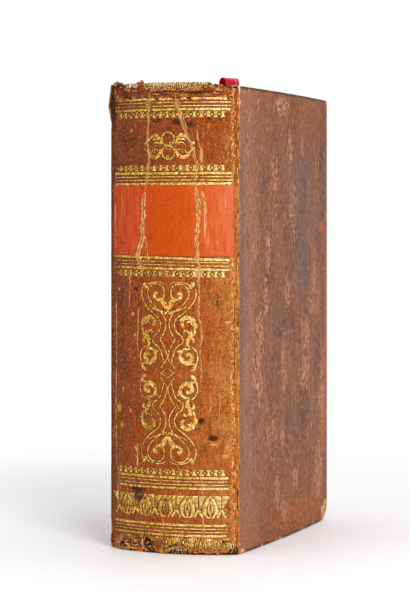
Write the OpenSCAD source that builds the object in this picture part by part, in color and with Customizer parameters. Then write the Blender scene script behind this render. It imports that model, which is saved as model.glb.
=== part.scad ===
// Antique book bound in full leather, standing on its tail.
// The rounded spine faces -Y, the front cover is at +X and the back cover at -X.

/* [Boards] */
// Height of the boards, head to tail
board_h = 215; // [208:1:228]
// Width of a board, hinge line to fore-edge
board_w = 130; // [115:1:145]
// Thickness of the pasteboard
board_t = 2.6; // [2:0.1:3.2]
// How far the warped board bows outward at its middle
board_bow = 2; // [0.5:0.1:3]
// How far the board pulls in at the fore-edge
board_taper = 1; // [0:0.1:2]
// Radius that handling has worn the front cover's lower corner to
corner_worn = 10; // [4:0.5:12]

/* [Spine] */
// Thickness of the closed book over its hinge lines
book_t = 64; // [54:1:74]
// How far the rounded spine stands out beyond the hinge lines
spine_bulge = 9; // [7:0.5:12]
// Thickness of the cloth lining glued to the back
lining_t = 0.5; // [0.3:0.05:0.8]

/* [Leather] */
// Thickness of the covering leather
leather_t = 0.8; // [0.6:0.05:1]
// Thickness of the pared leather turned in over the board's edges
turn_in_t = 0.3; // [0.2:0.05:0.4]
// Width of the turn-ins
turn_in_w = 14; // [8:1:18]

/* [Text block] */
// Board edge standing above the leaves at the head
square_head = 1.5; // [1:0.25:4]
// Board edge standing below the leaves at the tail
square_tail = 3; // [1:0.25:4]
// Board edge standing past the leaves at the fore-edge
square_fore = 4; // [2:0.5:6]
// Depth of the hollow of the fore-edge
fore_hollow = 5; // [2:0.5:7]
// Thickness of the backed shoulder that the board's edge rests against
shoulder_t = 0.4; // [0.3:0.1:0.8]

/* [Endpapers] */
// Thickness of a pastedown
paste_t = 0.25; // [0.15:0.05:0.4]
// Leather left showing round a pastedown
paste_margin = 5; // [3:0.5:7]

/* [Sewing] */
// Number of recessed sewing cords
cord_count = 4; // [3:1:5]
// Diameter of a sewing cord
cord_d = 1.6; // [1.2:0.1:2]
// Height of the lowest cord above the tail of the leaves
cord_first = 30; // [20:1:40]

/* [Endbands] */
// Diameter of the sewn headband
headband_d = 3; // [2:0.1:3.4]
// Diameter of the sewn tailband
tailband_d = 2.4; // [1.8:0.1:2.6]

/* [Title label] */
// Height of the red title label
label_h = 33; // [28:1:36]
// Top of the label below the boards' head
label_drop = 45.6; // [44:0.2:48]
// How much higher the label's left end sits than its right
label_skew = 1; // [0:0.25:2]
// Thickness of the label's leather
label_t = 0.3; // [0.2:0.05:0.4]

/* [Gold tooling] */
// Thickness of the gilt impression
gold_t = 0.15; // [0.1:0.05:0.25]
// Height of a broad gilt rule
rule_broad = 1.1; // [0.8:0.1:1.3]
// Height of a fine gilt rule
rule_fine = 0.5; // [0.3:0.1:0.7]
// Height of a group of rules, between its two broad ones
rule_stack = 4.8; // [4:0.1:5.4]
// Lowest rule of the tail group above the foot of the spine
tail_rules_z = 8.8; // [8:0.1:9.4]
// Lowest rule of the foot group above the foot of the spine
foot_rules_z = 30.4; // [29:0.2:32]
// Topmost rule of the head group below the boards' head
head_rules_drop = 6.1; // [5:0.1:8]
// Arc length of the rules and rolls across the spine
rule_w = 61; // [50:1:62]
// Length of one repeat of the bead roll
bead_pitch = 3.3; // [3:0.1:4.5]
// Outer diameter of a bead
bead_d = 2.1; // [1.6:0.1:2.4]
// Width of the scroll ornament
scroll_w = 30; // [24:1:36]
// Plain leather between the scroll ornament and the rules above and below it
scroll_clear = 5.9; // [5.4:0.1:9]
// Width of the quatrefoil ornament
quatrefoil_w = 26; // [20:1:28]
// How far the quatrefoil stands below the middle of its panel
quatrefoil_drop = 2; // [0:0.1:3]
// Length of one repeat of the palmette roll
palmette_pitch = 10.65; // [9:0.05:12]
// Height of the palmette roll
palmette_h = 10.4; // [8:0.1:10.8]
// Length of one repeat of the arcaded roll at the tail
arcade_pitch = 8.2; // [7:0.1:9]
// Height of the arcaded roll
arcade_h = 5; // [4:0.1:5.4]

/* [Ribbon marker] */
// Width of the satin ribbon
ribbon_w = 7.5; // [5:0.5:8]
// Thickness of the ribbon
ribbon_t = 0.3; // [0.25:0.05:0.4]
// Height of the loose loop above the leaves
loop_h = 6; // [5:0.2:7]
// Length of ribbon lying between the leaves
ribbon_tuck = 120; // [60:5:150]

/* [Clearances] */
// Glue line between pieces of one body
glue = 0.05; // [0.03:0.01:0.08]
// Clearance of the moving covers
joint_gap = 0.3; // [0.2:0.05:0.5]

/* [Hidden] */
CORDS = [for (i = [1:cord_count]) str("sewing_cord_", i)];
$fn = 120;

// The hinge lines lie at y = joint_y, so that the origin is at the middle of the foot.
joint_y = (spine_bulge - board_w)/2;
spine_r = (pow(book_t/2, 2) + pow(spine_bulge, 2))/(2*spine_bulge);
axis_y = joint_y + spine_r - spine_bulge;

// Layers of the back, from the leather inward
lining_r = spine_r - leather_t - glue;
block_r = lining_r - lining_t - glue;

// Layers of a board, as depths below its outer face
core_out = leather_t + glue;
core_in = core_out + board_t;
turn_in_out = core_in + glue;
turn_in_in = turn_in_out + turn_in_t;
paste_out = turn_in_in + glue;
paste_in = paste_out + paste_t;

// Text block
block_x = book_t/2 - paste_in - joint_gap;
block_z0 = square_tail;
block_z1 = board_h - square_head;
shoulder_x = book_t/2 - leather_t - joint_gap;
shoulder_y = axis_y - sqrt(pow(block_r, 2) - pow(shoulder_x, 2)) + shoulder_t;
fore_y = joint_y + board_w - square_fore;
fore_x = block_x - board_taper;
fore_r = (pow(fore_x, 2) + pow(fore_hollow, 2))/(2*fore_hollow);

// Spine edges of the boards and of their leather
board_y = shoulder_y + joint_gap;
flap_y = joint_y + joint_gap/2;
spine_end_y = joint_y - joint_gap/2;
fore_edge_y = joint_y + board_w;

// Gilt work lies just proud of the leather, and on the label just proud of that.
gold_r = spine_r + glue;
spine_arc = 2*spine_r*asin(book_t/2/spine_r)*PI/180;
// The label hangs from the head, with a group of rules against each of its edges.
// Groups of rules are named by the height of the lowest.
label_z = board_h - label_drop - label_h;
waist_rules_z = label_z - rule_broad/2 - glue - rule_stack;
crown_rules_z = label_z + label_h + rule_broad/2 + glue;
head_rules_z = board_h - head_rules_drop - rule_stack;
bead_gap = rule_broad/2 + bead_d/2 + 0.8;
// Ornaments fill the panels between the bands that frame them
scroll_z = (foot_rules_z + rule_stack + waist_rules_z)/2;
scroll_h = waist_rules_z - foot_rules_z - rule_stack - 2*scroll_clear;
quatrefoil_z = (crown_rules_z + rule_stack + head_rules_z)/2 - quatrefoil_drop;
palmette_z = (tail_rules_z + rule_stack + foot_rules_z)/2;
arcade_z = tail_rules_z - rule_broad/2 - arcade_h/2 - 0.4;

// Degrees round the spine for an arc length
function turn(s) = s*180/PI/spine_r;
// X of a point at an arc length from the middle of the spine
function flat(s) = spine_r*sin(turn(s));

// Outer face of the front board at a given y, less a depth
function face_x(y, depth) =
    let (t = (y - joint_y)/board_w) book_t/2 + 4*board_bow*t*(1 - t) - board_taper*t - depth;
// Stations along the board from y0 to y1
board_steps = 10;
function stations(y0, y1) = concat([y0],
    [for (i = [0:board_steps]) let (y = joint_y + board_w*i/board_steps) if (y > y0 + 1 && y < y1 - 1) y], [y1]);

// Section of a bowed layer between two depths, upright over z0 to z1
module layer(y0, y1, outer, inner, z0, z1)
    let (ys = stations(y0, y1), n = len(ys) - 1)
        translate([0, 0, z0]) linear_extrude(z1 - z0)
            polygon(concat([for (y = ys) [face_x(y, outer), y]], [for (i = [n:-1:0]) [face_x(ys[i], inner), ys[i]]]));

// Board of pasteboard
module board()
    layer(board_y, fore_edge_y - leather_t - glue, core_out, core_in, leather_t + glue, board_h - leather_t - glue);

// Leather over the outside of a board and turned in over its three free edges
module cover_leather()
    difference() {
        layer(flap_y, fore_edge_y, 0, turn_in_in, 0, board_h);
        layer(flap_y - 1, fore_edge_y - leather_t, leather_t, turn_in_out, leather_t, board_h - leather_t);
        layer(flap_y - 1, fore_edge_y - turn_in_w, leather_t + board_t/2, paste_in, turn_in_w, board_h - turn_in_w);
        layer(flap_y - 1, board_y, leather_t, paste_in, -1, board_h + 1);
    }

// Paper pasted over the turn-ins and down onto the board between them
module pastedown() {
    difference() {
        layer(board_y, fore_edge_y - paste_margin, turn_in_out, paste_in, paste_margin, board_h - paste_margin);
        difference() {
            layer(board_y - 1, fore_edge_y, core_in, paste_out, 0, board_h);
            layer(board_y - 2, fore_edge_y - turn_in_w - glue, leather_t, paste_in + 1, turn_in_w + glue,
                board_h - turn_in_w - glue);
        }
    }
}

// Ring sector centred on the spine: radii, heights and arc length
module spine_sector(r0, r1, z0, z1, arc)
    translate([0, axis_y, 0]) rotate([0, 0, -90 - turn(arc)/2])
        rotate_extrude(angle = turn(arc)) translate([r0, z0]) square([r1 - r0, z1 - z0]);

// Reach of the cutting shapes, behind the hinge lines and in front of the spine
cut_back = 20;
cut_front = 5;
// Drawn outline in X and Z, cut right through the spine from front to back
module through_spine()
    translate([0, joint_y + cut_back, 0]) rotate([90, 0, 0])
        linear_extrude(cut_back + spine_bulge + cut_front) children();

// Folded, sewn and glued leaves as one solid, with a rounded back, shoulders and hollow fore-edge
module text_block()
    color("wheat") difference() {
        translate([0, 0, block_z0]) linear_extrude(block_z1 - block_z0) difference() {
            union() {
                polygon([[-block_x, shoulder_y - shoulder_t/2], [block_x, shoulder_y - shoulder_t/2],
                    [block_x, shoulder_y], [fore_x, fore_y], [-fore_x, fore_y], [-block_x, shoulder_y]]);
                intersection() {
                    translate([0, axis_y]) circle(block_r);
                    translate([-shoulder_x, shoulder_y - cut_back]) square([2*shoulder_x, cut_back]);
                }
            }
            translate([0, fore_y + fore_r - fore_hollow]) circle(fore_r);
        }
        for (i = [1:cord_count])
            spine_sector(block_r - cord_d - 2*glue, block_r + 1, cord_z(i) - cord_d/2 - glue, cord_z(i) + cord_d/2 + glue,
                spine_arc);
        ribbon_room();
    }

// Cords spread evenly between the lowest and its like at the head
function cord_z(i) = block_z0 + cord_first + (block_z1 - block_z0 - 2*cord_first)*(i - 1)/(cord_count - 1);

// Hemp cord let into a saw cut across the folds
module sewing_cord(i)
    color("tan") translate([0, axis_y, cord_z(i)]) rotate([0, 0, -90 - turn(cord_arc)/2])
        rotate_extrude(angle = turn(cord_arc)) translate([block_r - cord_d/2 - glue, 0]) circle(cord_d/2);
cord_arc = spine_arc - 8;

// Coarse cloth glued over the folds and cords
module spine_lining()
    color("burlywood") intersection() {
        spine_sector(block_r + glue, lining_r, block_z0, block_z1, spine_arc);
        translate([-shoulder_x, joint_y - spine_bulge, 0])
            cube([2*shoulder_x, spine_bulge + shoulder_y - shoulder_t - joint_y, board_h]);
    }

// Rolled core sewn over with thread along the back edge of the leaves
module endband(d, z)
    translate([0, axis_y, z]) rotate([0, 0, -90 - turn(band_arc)/2])
        rotate_extrude(angle = turn(band_arc)) translate([block_r - d/2, 0]) circle(d/2);
band_arc = spine_arc - 10;

module headband() color("navajowhite") endband(headband_d, ribbon_rest + ribbon_t/2 + glue + headband_d/2);
module tailband() color("navajowhite") endband(tailband_d, block_z0 - tailband_d/2 - glue);

// Ribbon route: glued behind the folds, under the headband, along the leaves, up in a loose arch and down between them
ribbon_rest = block_z1 + ribbon_t/2 + glue;
anchor_y = axis_y - block_r + ribbon_t/2 + 2*glue;
anchor_len = 25;
arch_r = 2.4;
arch_x = 21.5;
arch_y = joint_y + 13;
arch_z = block_z1 + loop_h - arch_r - ribbon_t/2;
slot_x = arch_x + arch_r*1.1;
slot_y = arch_y - 1;
// Stations of a point and the direction of the ribbon's width there
ribbon_route = concat(
    [[[0, anchor_y, block_z1 - anchor_len], [1, 0, 0]], [[0, anchor_y, block_z1 - 1], [1, 0, 0]],
     [[0, anchor_y + 0.1, block_z1], [1, 0, 0]], [[0, anchor_y + 0.5, ribbon_rest], [1, 0, 0]],
     [[0, anchor_y + 4, ribbon_rest], [1, 0, 0]], [[1, joint_y + 2, ribbon_rest], [1, -0.2, 0]],
     [[4, joint_y + 8, ribbon_rest], [1, -0.8, 0]], [[8.5, joint_y + 12, ribbon_rest], [0.5, -1, 0]],
     [[13, joint_y + 13.4, ribbon_rest + 0.1], [0.1, -1, 0]], [[17, joint_y + 13.6, ribbon_rest + 0.3], [-0.3, -1, 0]],
     [[18.4, arch_y + 0.8, block_z1 + 1.4], [-0.4, -0.9, 0]]],
    [for (i = [0:8]) let (a = 180 - 180*i/8, t = i/8) [[arch_x + 1.1*arch_r*cos(a), arch_y - cos(a)*(1 - t*0.2),
        arch_z + arch_r*sin(a)], [-0.45*(1 - t), -0.9, 0]]],
    [[[slot_x, slot_y + 0.1, block_z1 + 1], [0, -1, 0]], [[slot_x, slot_y, block_z1 - 1], [0, -1, 0]],
     [[slot_x, slot_y, block_z1 - ribbon_tuck], [0, -1, 0]]]);

// Room for the ribbon between two leaves, and for its glued end behind the folds
module ribbon_room() {
    side = 0.3;
    translate([slot_x - ribbon_t/2 - glue, slot_y - ribbon_w/2 - side, block_z1 - ribbon_tuck - side])
        cube([ribbon_t + 2*glue, ribbon_w + 2*side, ribbon_tuck + 1]);
    translate([-ribbon_w/2 - side, anchor_y - 1, block_z1 - anchor_len - side])
        cube([ribbon_w + 2*side, 1 + ribbon_t/2 + 2*glue, anchor_len + 1]);
}

// Strip swept along stations, with its thickness square to the route and to its width
module ribbon_marker()
    color("crimson") let (
        n = len(ribbon_route) - 1,
        rings = [for (i = [0:n]) let (
            p = ribbon_route[i][0], w = ribbon_route[i][1]/norm(ribbon_route[i][1]),
            d = ribbon_route[min(i + 1, n)][0] - ribbon_route[max(i - 1, 0)][0],
            t = cross(w, d)/norm(cross(w, d)))
            [p - w*ribbon_w/2 - t*ribbon_t/2, p + w*ribbon_w/2 - t*ribbon_t/2,
             p + w*ribbon_w/2 + t*ribbon_t/2, p - w*ribbon_w/2 + t*ribbon_t/2]])
        polyhedron(points = [for (r = rings) for (p = r) p],
            faces = concat([[0, 1, 2, 3]], [[4*n + 3, 4*n + 2, 4*n + 1, 4*n]],
                [for (i = [0:n - 1]) for (k = [0:3]) let (a = 4*i + k, b = 4*i + (k + 1) % 4)
                    for (f = [[a, a + 4, b + 4], [a, b + 4, b]]) f]));

// Torn edge of the leather at the head, as arc length from the middle and height above the boards' head
head_tear = [[33, -2], [31, -1.5], [28, -0.6], [24, 0.2], [20, 0], [17, -1.4], [14, -2.4], [10, -1.8], [6, -2.6],
    [1, -2.2], [-4, -2.9], [-8, -2], [-11, -0.6], [-12.5, 1.9], [-14, 1.2], [-17, -0.4], [-21, -0.9], [-25, 0.3],
    [-28, 1.8], [-30, 2.6], [-33, 1]];
// Torn edge at the tail, as arc length and height above the boards' tail, with its two holes
tail_tear = [[-33, 1.2], [-31, 0.4], [-28, 0], [-12, 0], [-11.2, 6.5], [-9.6, 7.6], [-7.4, 3], [-6.4, 0], [27, 0],
    [29, 1.6], [30.4, 5.6], [33, 6.6]];
tear_reach = 6;
// Outline of the strip peeled forward from the back joint at the head, as distance in front of the joint and
// height above the boards' head
peel = [[0, -16.8], [1.6, -15.2], [2.6, -12], [3.4, -8], [3.2, -4], [2.4, 0], [1, 1.8], [0, 1]];
peel_t = 0.6;
peel_x = joint_gap - book_t/2;

// Leather drawn tight over the back, torn at head and tail and cracked through along the joints
module spine_leather()
    color("sienna") union() {
        intersection() {
            spine_sector(lining_r + glue, spine_r, 0, board_h + tear_reach, spine_arc + 4);
            translate([-book_t/2, joint_y - spine_bulge - 1, 0])
                cube([book_t, spine_bulge + 1 + spine_end_y - joint_y, board_h + tear_reach]);
            through_spine() polygon(concat([for (p = tail_tear) [flat(p[0]), p[1]]],
                [for (p = head_tear) [flat(p[0]), board_h + p[1]]]));
        }
        translate([peel_x, spine_end_y, board_h]) rotate([90, 0, 90])
            linear_extrude(peel_t) polygon([for (p = peel) [-p[0], p[1]]]);
    }

// Thin red leather label pasted between the upper rules
module title_label()
    color("orangered") intersection() {
        spine_sector(gold_r, gold_r + label_t, label_z - 1, label_z + label_h + label_skew + 1, rule_w + 3);
        through_spine() polygon([[-book_t, label_z + label_skew*book_t/rule_w + label_skew/2],
            [book_t, label_z - label_skew*book_t/rule_w + label_skew/2],
            [book_t, label_z + label_h], [-book_t, label_z + label_h]]);
    }

// One gilt rule right across the spine
module rule(z, h)
    spine_sector(gold_r, gold_r + gold_t, z - h/2, z + h/2, rule_w);

// Broad rule, two fine ones and a broad one, upward from z
module rule_group(z)
    for (k = [0, 0.34, 0.66, 1]) rule(z + rule_stack*k, k == 0 || k == 1 ? rule_broad : rule_fine);

module gilt_rules()
    color("gold") for (z = [tail_rules_z, foot_rules_z, waist_rules_z, crown_rules_z, head_rules_z]) rule_group(z);

// Puts its children flat on the leather at an arc length and height, their front facing out
module on_spine(s, z)
    translate([0, axis_y, z]) rotate([0, 0, turn(s)]) translate([0, -gold_r, 0]) rotate([90, 0, 0]) children();

// Dots in the rings left bare between hollow-sided crosses, rolled across the spine
module bead_roll(z)
    let (n = floor(rule_w/bead_pitch), first = -(n - 1)*bead_pitch/2) for (i = [0:n - 1]) {
        on_spine(first + i*bead_pitch, z) cylinder(d = bead_d*0.5, h = gold_t, $fn = 16);
        if (i < n - 1) on_spine(first + (i + 0.5)*bead_pitch, z) linear_extrude(gold_t) difference() {
            square([bead_pitch*0.7, bead_d*1.15], center = true);
            for (u = [-1, 1]) translate([u*bead_pitch/2, 0]) circle(d = bead_d, $fn = 24);
        }
    }

module gilt_bead_rolls()
    color("gold") for (z = [foot_rules_z + rule_stack + bead_gap, waist_rules_z - bead_gap,
        crown_rules_z + rule_stack + bead_gap, head_rules_z - bead_gap]) bead_roll(z);

// Points of a curve through hand-set ones, with k steps between each two
function eased(p, k) = let (n = len(p) - 1) concat(
    [for (i = [0:n - 1]) let (a = p[max(i - 1, 0)], b = p[i], c = p[i + 1], d = p[min(i + 2, n)]) for (j = [0:k - 1])
        let (t = j/k) 0.5*(2*b + (c - a)*t + (2*a - 5*b + 4*c - d)*t*t + (3*b - a - 3*c + d)*t*t*t)],
    [p[n]]);
function across(p, i) = let (d = p[min(i + 1, len(p) - 1)] - p[max(i - 1, 0)]) [-d[1], d[0]]/norm(d);
// Half width part of the way along, from those at the start, middle and end
function swell(w, t) = (w[0]*(1 - t)*(1 - 2*t) + w[1]*4*t*(1 - t) + w[2]*t*(2*t - 1))/2;

// A tool's line: a curve through points, with its width at the start, middle and end
module stroke(points, w)
    let (p = eased(points, 2), n = len(p) - 1) polygon(concat(
        [for (i = [0:n]) p[i] + across(p, i)*swell(w, i/n)],
        [for (i = [n:-1:0]) p[i] - across(p, i)*swell(w, i/n)]));

// Gilt drawing on the spine, its points given from the middle of the ornament
module gilt_drawing(z, h)
    color("gold") intersection() {
        spine_sector(gold_r, gold_r + gold_t, z - h, z + h, rule_w);
        translate([0, 0, z]) through_spine() children();
    }

// One quarter of the scroll ornament: strapwork, volute, acanthus hook and spiral
scroll_lines = [
    [[[1.6, 36.4], [2.2, 39.7], [5.2, 41.4], [8.4, 40.6], [10.3, 37.7], [9.6, 34.4], [7.5, 31.8], [5, 29.8], [2.7, 27.6],
      [1.1, 24.8], [0.8, 21.9], [1.6, 19], [3.8, 15.6]], [0.4, 0.45, 0.4]],
    [[[11.4, 42], [12.8, 40.2], [13.7, 36.6], [12.8, 33.6], [10.5, 30.3], [7.3, 27.6], [4.5, 25.4], [3.5, 23],
      [3.7, 20.8], [4.8, 18.8], [7, 17.1]], [0.4, 0.45, 0.4]],
    [[[3.8, 15.6], [2.2, 13.1], [0.4, 9.2]], [0.4, 0.45, 0.4]],
    [[[7, 17.1], [7.5, 14.2], [4.5, 12], [2.9, 8.7], [2, 4.3], [3.4, 2.4]], [0.4, 0.45, 0.4]],
    [[[0.4, 9.2], [0.2, 7.6], [-1.4, 4.8], [-3.4, 2.2]], [0.4, 0.45, 0.3]],
    [[[0.9, 40.9], [3, 42.1], [6.2, 42.2], [9.4, 41.4], [11.4, 40.2]], [0.3, 0.4, 0.4]],
    [[[10.2, 39.4], [11.6, 40.4], [12.8, 42.2]], [0.5, 1.5, 0.3]],
    [[[0.3, 29.3], [1.1, 31.1], [2.2, 32.7], [3.1, 34.2]], [0.6, 2.1, 1.2]],
    [[[5.2, 36.2], [5.9, 37.1], [6.8, 35.9], [5.6, 34.3], [3.7, 34.1], [2.1, 35.3], [1.5, 37.4]], [1, 1.2, 0.5]],
    [[[0.2, 28.9], [0.7, 27.8], [1.8, 27.7], [1.8, 28.7]], [0.4, 0.6, 0.5]],
    [[[1.9, 28.3], [5, 29.1], [9.2, 30.8]], [0.5, 0.6, 0.3]],
    [[[7.9, 21.6], [6.9, 23.1], [7.4, 24.9], [9.6, 25.8], [12, 24.9], [13.4, 22.4], [13.1, 19.4], [12.3, 17.2]],
     [1, 1.7, 0.5]],
    [[[9.3, 23.4], [10.7, 24], [12, 22.2]], [0.3, 0.8, 0.3]],
    [[[10.4, 18.4], [9.4, 19.5], [8.3, 19.8], [8, 18.8]], [0.7, 0.7, 0.6]],
    [[[10.8, 12], [9.6, 13.2], [9.7, 15.1], [10.7, 16.8], [11.3, 18.2], [10.9, 19.9]], [0.4, 1.7, 0.6]],
    [[[11.4, 16.7], [12.6, 15.7], [12.4, 14]], [0.6, 1.2, 0.3]],
    [[[11.7, 12.2], [13.8, 10.1], [14.4, 7.2], [13.9, 4.6], [12.9, 2.6]], [0.5, 0.6, 1]],
    [[[10.9, 11.2], [8.2, 11.2], [6.2, 9.2], [6.6, 6.5], [9, 5], [11.4, 6.1], [11.6, 8.2], [10, 9], [9.4, 7.8]],
     [0.5, 1.8, 0.8]],
    [[[4.8, 10.4], [5.6, 9.9], [6.4, 9.3]], [0.5, 0.9, 0.4]],
    [[[8.4, 3.9], [10.6, 4.2], [12.9, 4.2]], [0.4, 0.7, 0.6]],
    [[[13.6, 2.9], [12.4, 1.9], [11.2, 0.9]], [0.7, 1.5, 0.4]],
    [[[0, 2.2], [1.7, 1.1], [3.4, 0]], [0.4, 0.4, 0.4]]];

// The quarter was set out on an ornament of this width and height.
scroll_set_out = [30, 85];
module gilt_scrollwork()
    let (k = [scroll_w/scroll_set_out[0], scroll_h/scroll_set_out[1]])
        gilt_drawing(scroll_z, scroll_h) for (u = [0, 1]) for (v = [0, 1]) mirror([u, 0]) mirror([0, v])
            for (line = scroll_lines) stroke([for (p = line[0]) [flat(p[0]*k[0]), p[1]*k[1]]], line[1]);

// Half of the quatrefoil: leafy lobes beside its two rings
leaf_lines = [
    [[[3.4, 0.6], [4.2, 2.6], [5.5, 4.3], [7.2, 4.8], [9, 3.6], [11.2, 1.4]], [0.5, 1.6, 0.4]],
    [[[3.2, -1.4], [4.2, -3.2], [5.9, -5.1], [8, -5.2], [9.8, -3.9], [11.2, -1.8]], [0.5, 1.6, 0.4]],
    [[[3.9, 0.6], [5.5, 1.5], [7.2, 1.2], [9, -0.6]], [0.4, 0.6, 0.3]],
    [[[5.4, 2.5], [6.9, 3.1], [8.2, 2.3]], [0.3, 0.8, 0.3]],
    [[[4.2, -2.2], [5.7, -1.7], [7.1, -1.9], [6.8, -3.2]], [0.4, 0.6, 0.4]],
    [[[8, -1.6], [8.6, -2.8], [9.6, -3.4]], [0.3, 0.8, 0.4]]];
// Pearls, each as its place and radius
pearls = [[[12, 1.1], 0.8], [[12, -1.3], 0.8], [[0.85, 1.4], 0.4], [[0.85, -1.5], 0.4]];
quatrefoil_set_out = 26;
ring_r = 3.4;
ring_w = 0.6;
module gilt_quatrefoil()
    let (k = quatrefoil_w/quatrefoil_set_out) gilt_drawing(quatrefoil_z, quatrefoil_w/2) {
        for (v = [-1, 1]) translate([0, v*(ring_r - ring_w/2)*k]) difference() {
            circle(ring_r*k, $fn = 40);
            circle((ring_r - ring_w)*k, $fn = 40);
        }
        for (u = [0, 1]) mirror([u, 0]) {
            for (line = leaf_lines) stroke(line[0]*k, line[1]*k);
            for (p = pearls) translate(p[0]*k) circle(p[1]*k, $fn = 16);
        }
    }

// Half of a palmette: a drop round a flame on its stem
palmette_lines = [
    [[[0.1, 5], [1.2, 3.3], [2.5, 0.9], [3.1, -1.6], [2.6, -3.5], [1.5, -4.5]], [0.4, 1.1, 0.5]],
    [[[0.1, 2.9], [0.9, 0.9], [1.4, -1], [1.1, -2.6], [0.4, -3.5]], [0.4, 0.6, 0.3]],
    [[[0.1, -1.8], [0.1, -3.4], [0.1, -5]], [0.5, 0.5, 0.6]]];
// Half of the fan that hangs between two drops over its crossed stems
fan_lines = [
    [[[2.1, 4.9], [1.45, 2.4], [0.8, 0.6], [0.4, -0.5]], [2.8, 1.6, 0.4]],
    [[[0.1, 4.9], [0.1, 2.4], [0.1, 0.4]], [0.5, 0.4, 0.3]],
    [[[0.2, -1.2], [1, -3.1], [2.1, -4.9]], [0.9, 1.1, 0.6]]];
palmette_set_out = [10.65, 10.4];

// Half drawings turned into whole ones and scaled from the size they were set out at
module roll_motif(lines, k)
    linear_extrude(gold_t) for (u = [0, 1]) mirror([u, 0]) for (line = lines)
        stroke([for (p = line[0]) [p[0]*k[0], p[1]*k[1]]], line[1]*min(k));

module gilt_palmette_roll()
    color("gold") let (n = floor(rule_w/palmette_pitch) - 1,
        k = [palmette_pitch/palmette_set_out[0], palmette_h/palmette_set_out[1]]) for (i = [0:n]) {
        on_spine((i - n/2)*palmette_pitch, palmette_z) roll_motif(palmette_lines, k);
        if (i < n) on_spine((i + 0.5 - n/2)*palmette_pitch, palmette_z) roll_motif(fan_lines, k);
    }

// Half of an open flower between two sprays, and half of the bud under the arch between two flowers
flower_lines = [
    [[[0.1, 2.3], [0.1, 0.5], [0.1, -2]], [1.4, 2.4, 0.5]],
    [[[1.6, 2.2], [2, 0.4], [1.4, -1.2], [2, -2.4]], [0.5, 0.5, 0.6]],
    [[[2.8, -1.6], [2.7, 0], [3, 1.2], [3.7, 2.1]], [0.4, 0.5, 0.5]]];
bud_lines = [[[[0.1, 1], [0.1, -0.4], [0.1, -2.2]], [0.4, 1.3, 0.5]]];
arcade_set_out = [8.2, 5];
module gilt_arcade_roll()
    color("gold") let (n = floor(rule_w/arcade_pitch) - 1,
        k = [arcade_pitch/arcade_set_out[0], arcade_h/arcade_set_out[1]]) for (i = [0:n]) {
        on_spine((i - n/2)*arcade_pitch, arcade_z) roll_motif(flower_lines, k);
        if (i < n) on_spine((i + 0.5 - n/2)*arcade_pitch, arcade_z) roll_motif(bud_lines, k);
    }

// Takes off the corner between the tail and the fore-edge, rounded as handling has worn it
module worn_corner()
    difference() {
        children();
        translate([0, fore_edge_y - corner_worn, corner_worn]) rotate([90, 0, 90]) linear_extrude(book_t)
            difference() {
                translate([0, -corner_worn - 1]) square(corner_worn + 1);
                circle(corner_worn);
            }
    }

module front_board() color("peru") worn_corner() board();
module front_cover_leather() color("saddlebrown") worn_corner() cover_leather();
module front_pastedown() color("antiquewhite") pastedown();
module back_board() color("peru") mirror([1, 0, 0]) board();
module back_cover_leather() color("saddlebrown") mirror([1, 0, 0]) cover_leather();
module back_pastedown() color("antiquewhite") mirror([1, 0, 0]) pastedown();

text_block();
spine_lining();
headband();
tailband();
ribbon_marker();
for (i = [1:cord_count]) sewing_cord(i);
spine_leather();
title_label();
gilt_rules();
gilt_bead_rolls();
gilt_quatrefoil();
gilt_scrollwork();
gilt_palmette_roll();
gilt_arcade_roll();
front_board();
front_cover_leather();
front_pastedown();
back_board();
back_cover_leather();
back_pastedown();
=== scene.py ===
# Antique book in full calf, standing on its tail: the finish of each piece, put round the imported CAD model.
import math

import bpy
import numpy as np
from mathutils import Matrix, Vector


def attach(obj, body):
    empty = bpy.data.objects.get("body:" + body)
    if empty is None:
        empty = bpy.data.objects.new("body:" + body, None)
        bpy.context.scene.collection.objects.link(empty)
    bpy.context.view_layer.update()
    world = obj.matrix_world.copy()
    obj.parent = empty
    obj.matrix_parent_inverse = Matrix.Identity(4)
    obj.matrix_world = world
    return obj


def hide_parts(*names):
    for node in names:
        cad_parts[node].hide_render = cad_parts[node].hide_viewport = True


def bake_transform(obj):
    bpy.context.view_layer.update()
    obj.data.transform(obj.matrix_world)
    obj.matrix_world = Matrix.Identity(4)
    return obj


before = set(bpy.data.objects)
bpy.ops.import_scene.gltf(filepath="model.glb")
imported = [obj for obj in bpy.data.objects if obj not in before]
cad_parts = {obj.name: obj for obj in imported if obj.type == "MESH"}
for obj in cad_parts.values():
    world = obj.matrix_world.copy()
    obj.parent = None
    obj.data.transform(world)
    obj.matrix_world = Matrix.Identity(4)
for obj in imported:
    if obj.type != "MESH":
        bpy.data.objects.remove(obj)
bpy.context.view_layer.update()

# Camera
# A long lens at two thirds of the book's height, held level, with the front raised as on a studio camera.
lens = bpy.data.cameras.new("studio_lens")
lens.lens = 123.5
lens.sensor_width = 36
lens.shift_y = -0.139
camera = bpy.data.objects.new("studio_camera", lens)
camera.location = (0.3776, -0.9616, 0.1524)
camera.rotation_euler = (math.radians(90), 0, math.radians(21.9))
bpy.context.scene.collection.objects.link(camera)
bpy.context.scene.camera = camera
bpy.context.scene.view_settings.view_transform = "Standard"


# Studio table, backdrop and lamps
# A white table top that takes the book's soft shadow and fades into a white surround, under large softboxes.

def linear(code):
    """A colour written as sRGB hex, in the linear values that Blender's nodes take."""
    parts = [int(code[i:i + 2], 16) / 255 for i in (1, 3, 5)]
    return tuple(c / 12.92 if c <= 0.04045 else ((c + 0.055) / 1.055) ** 2.4 for c in parts) + (1.0,)


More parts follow.
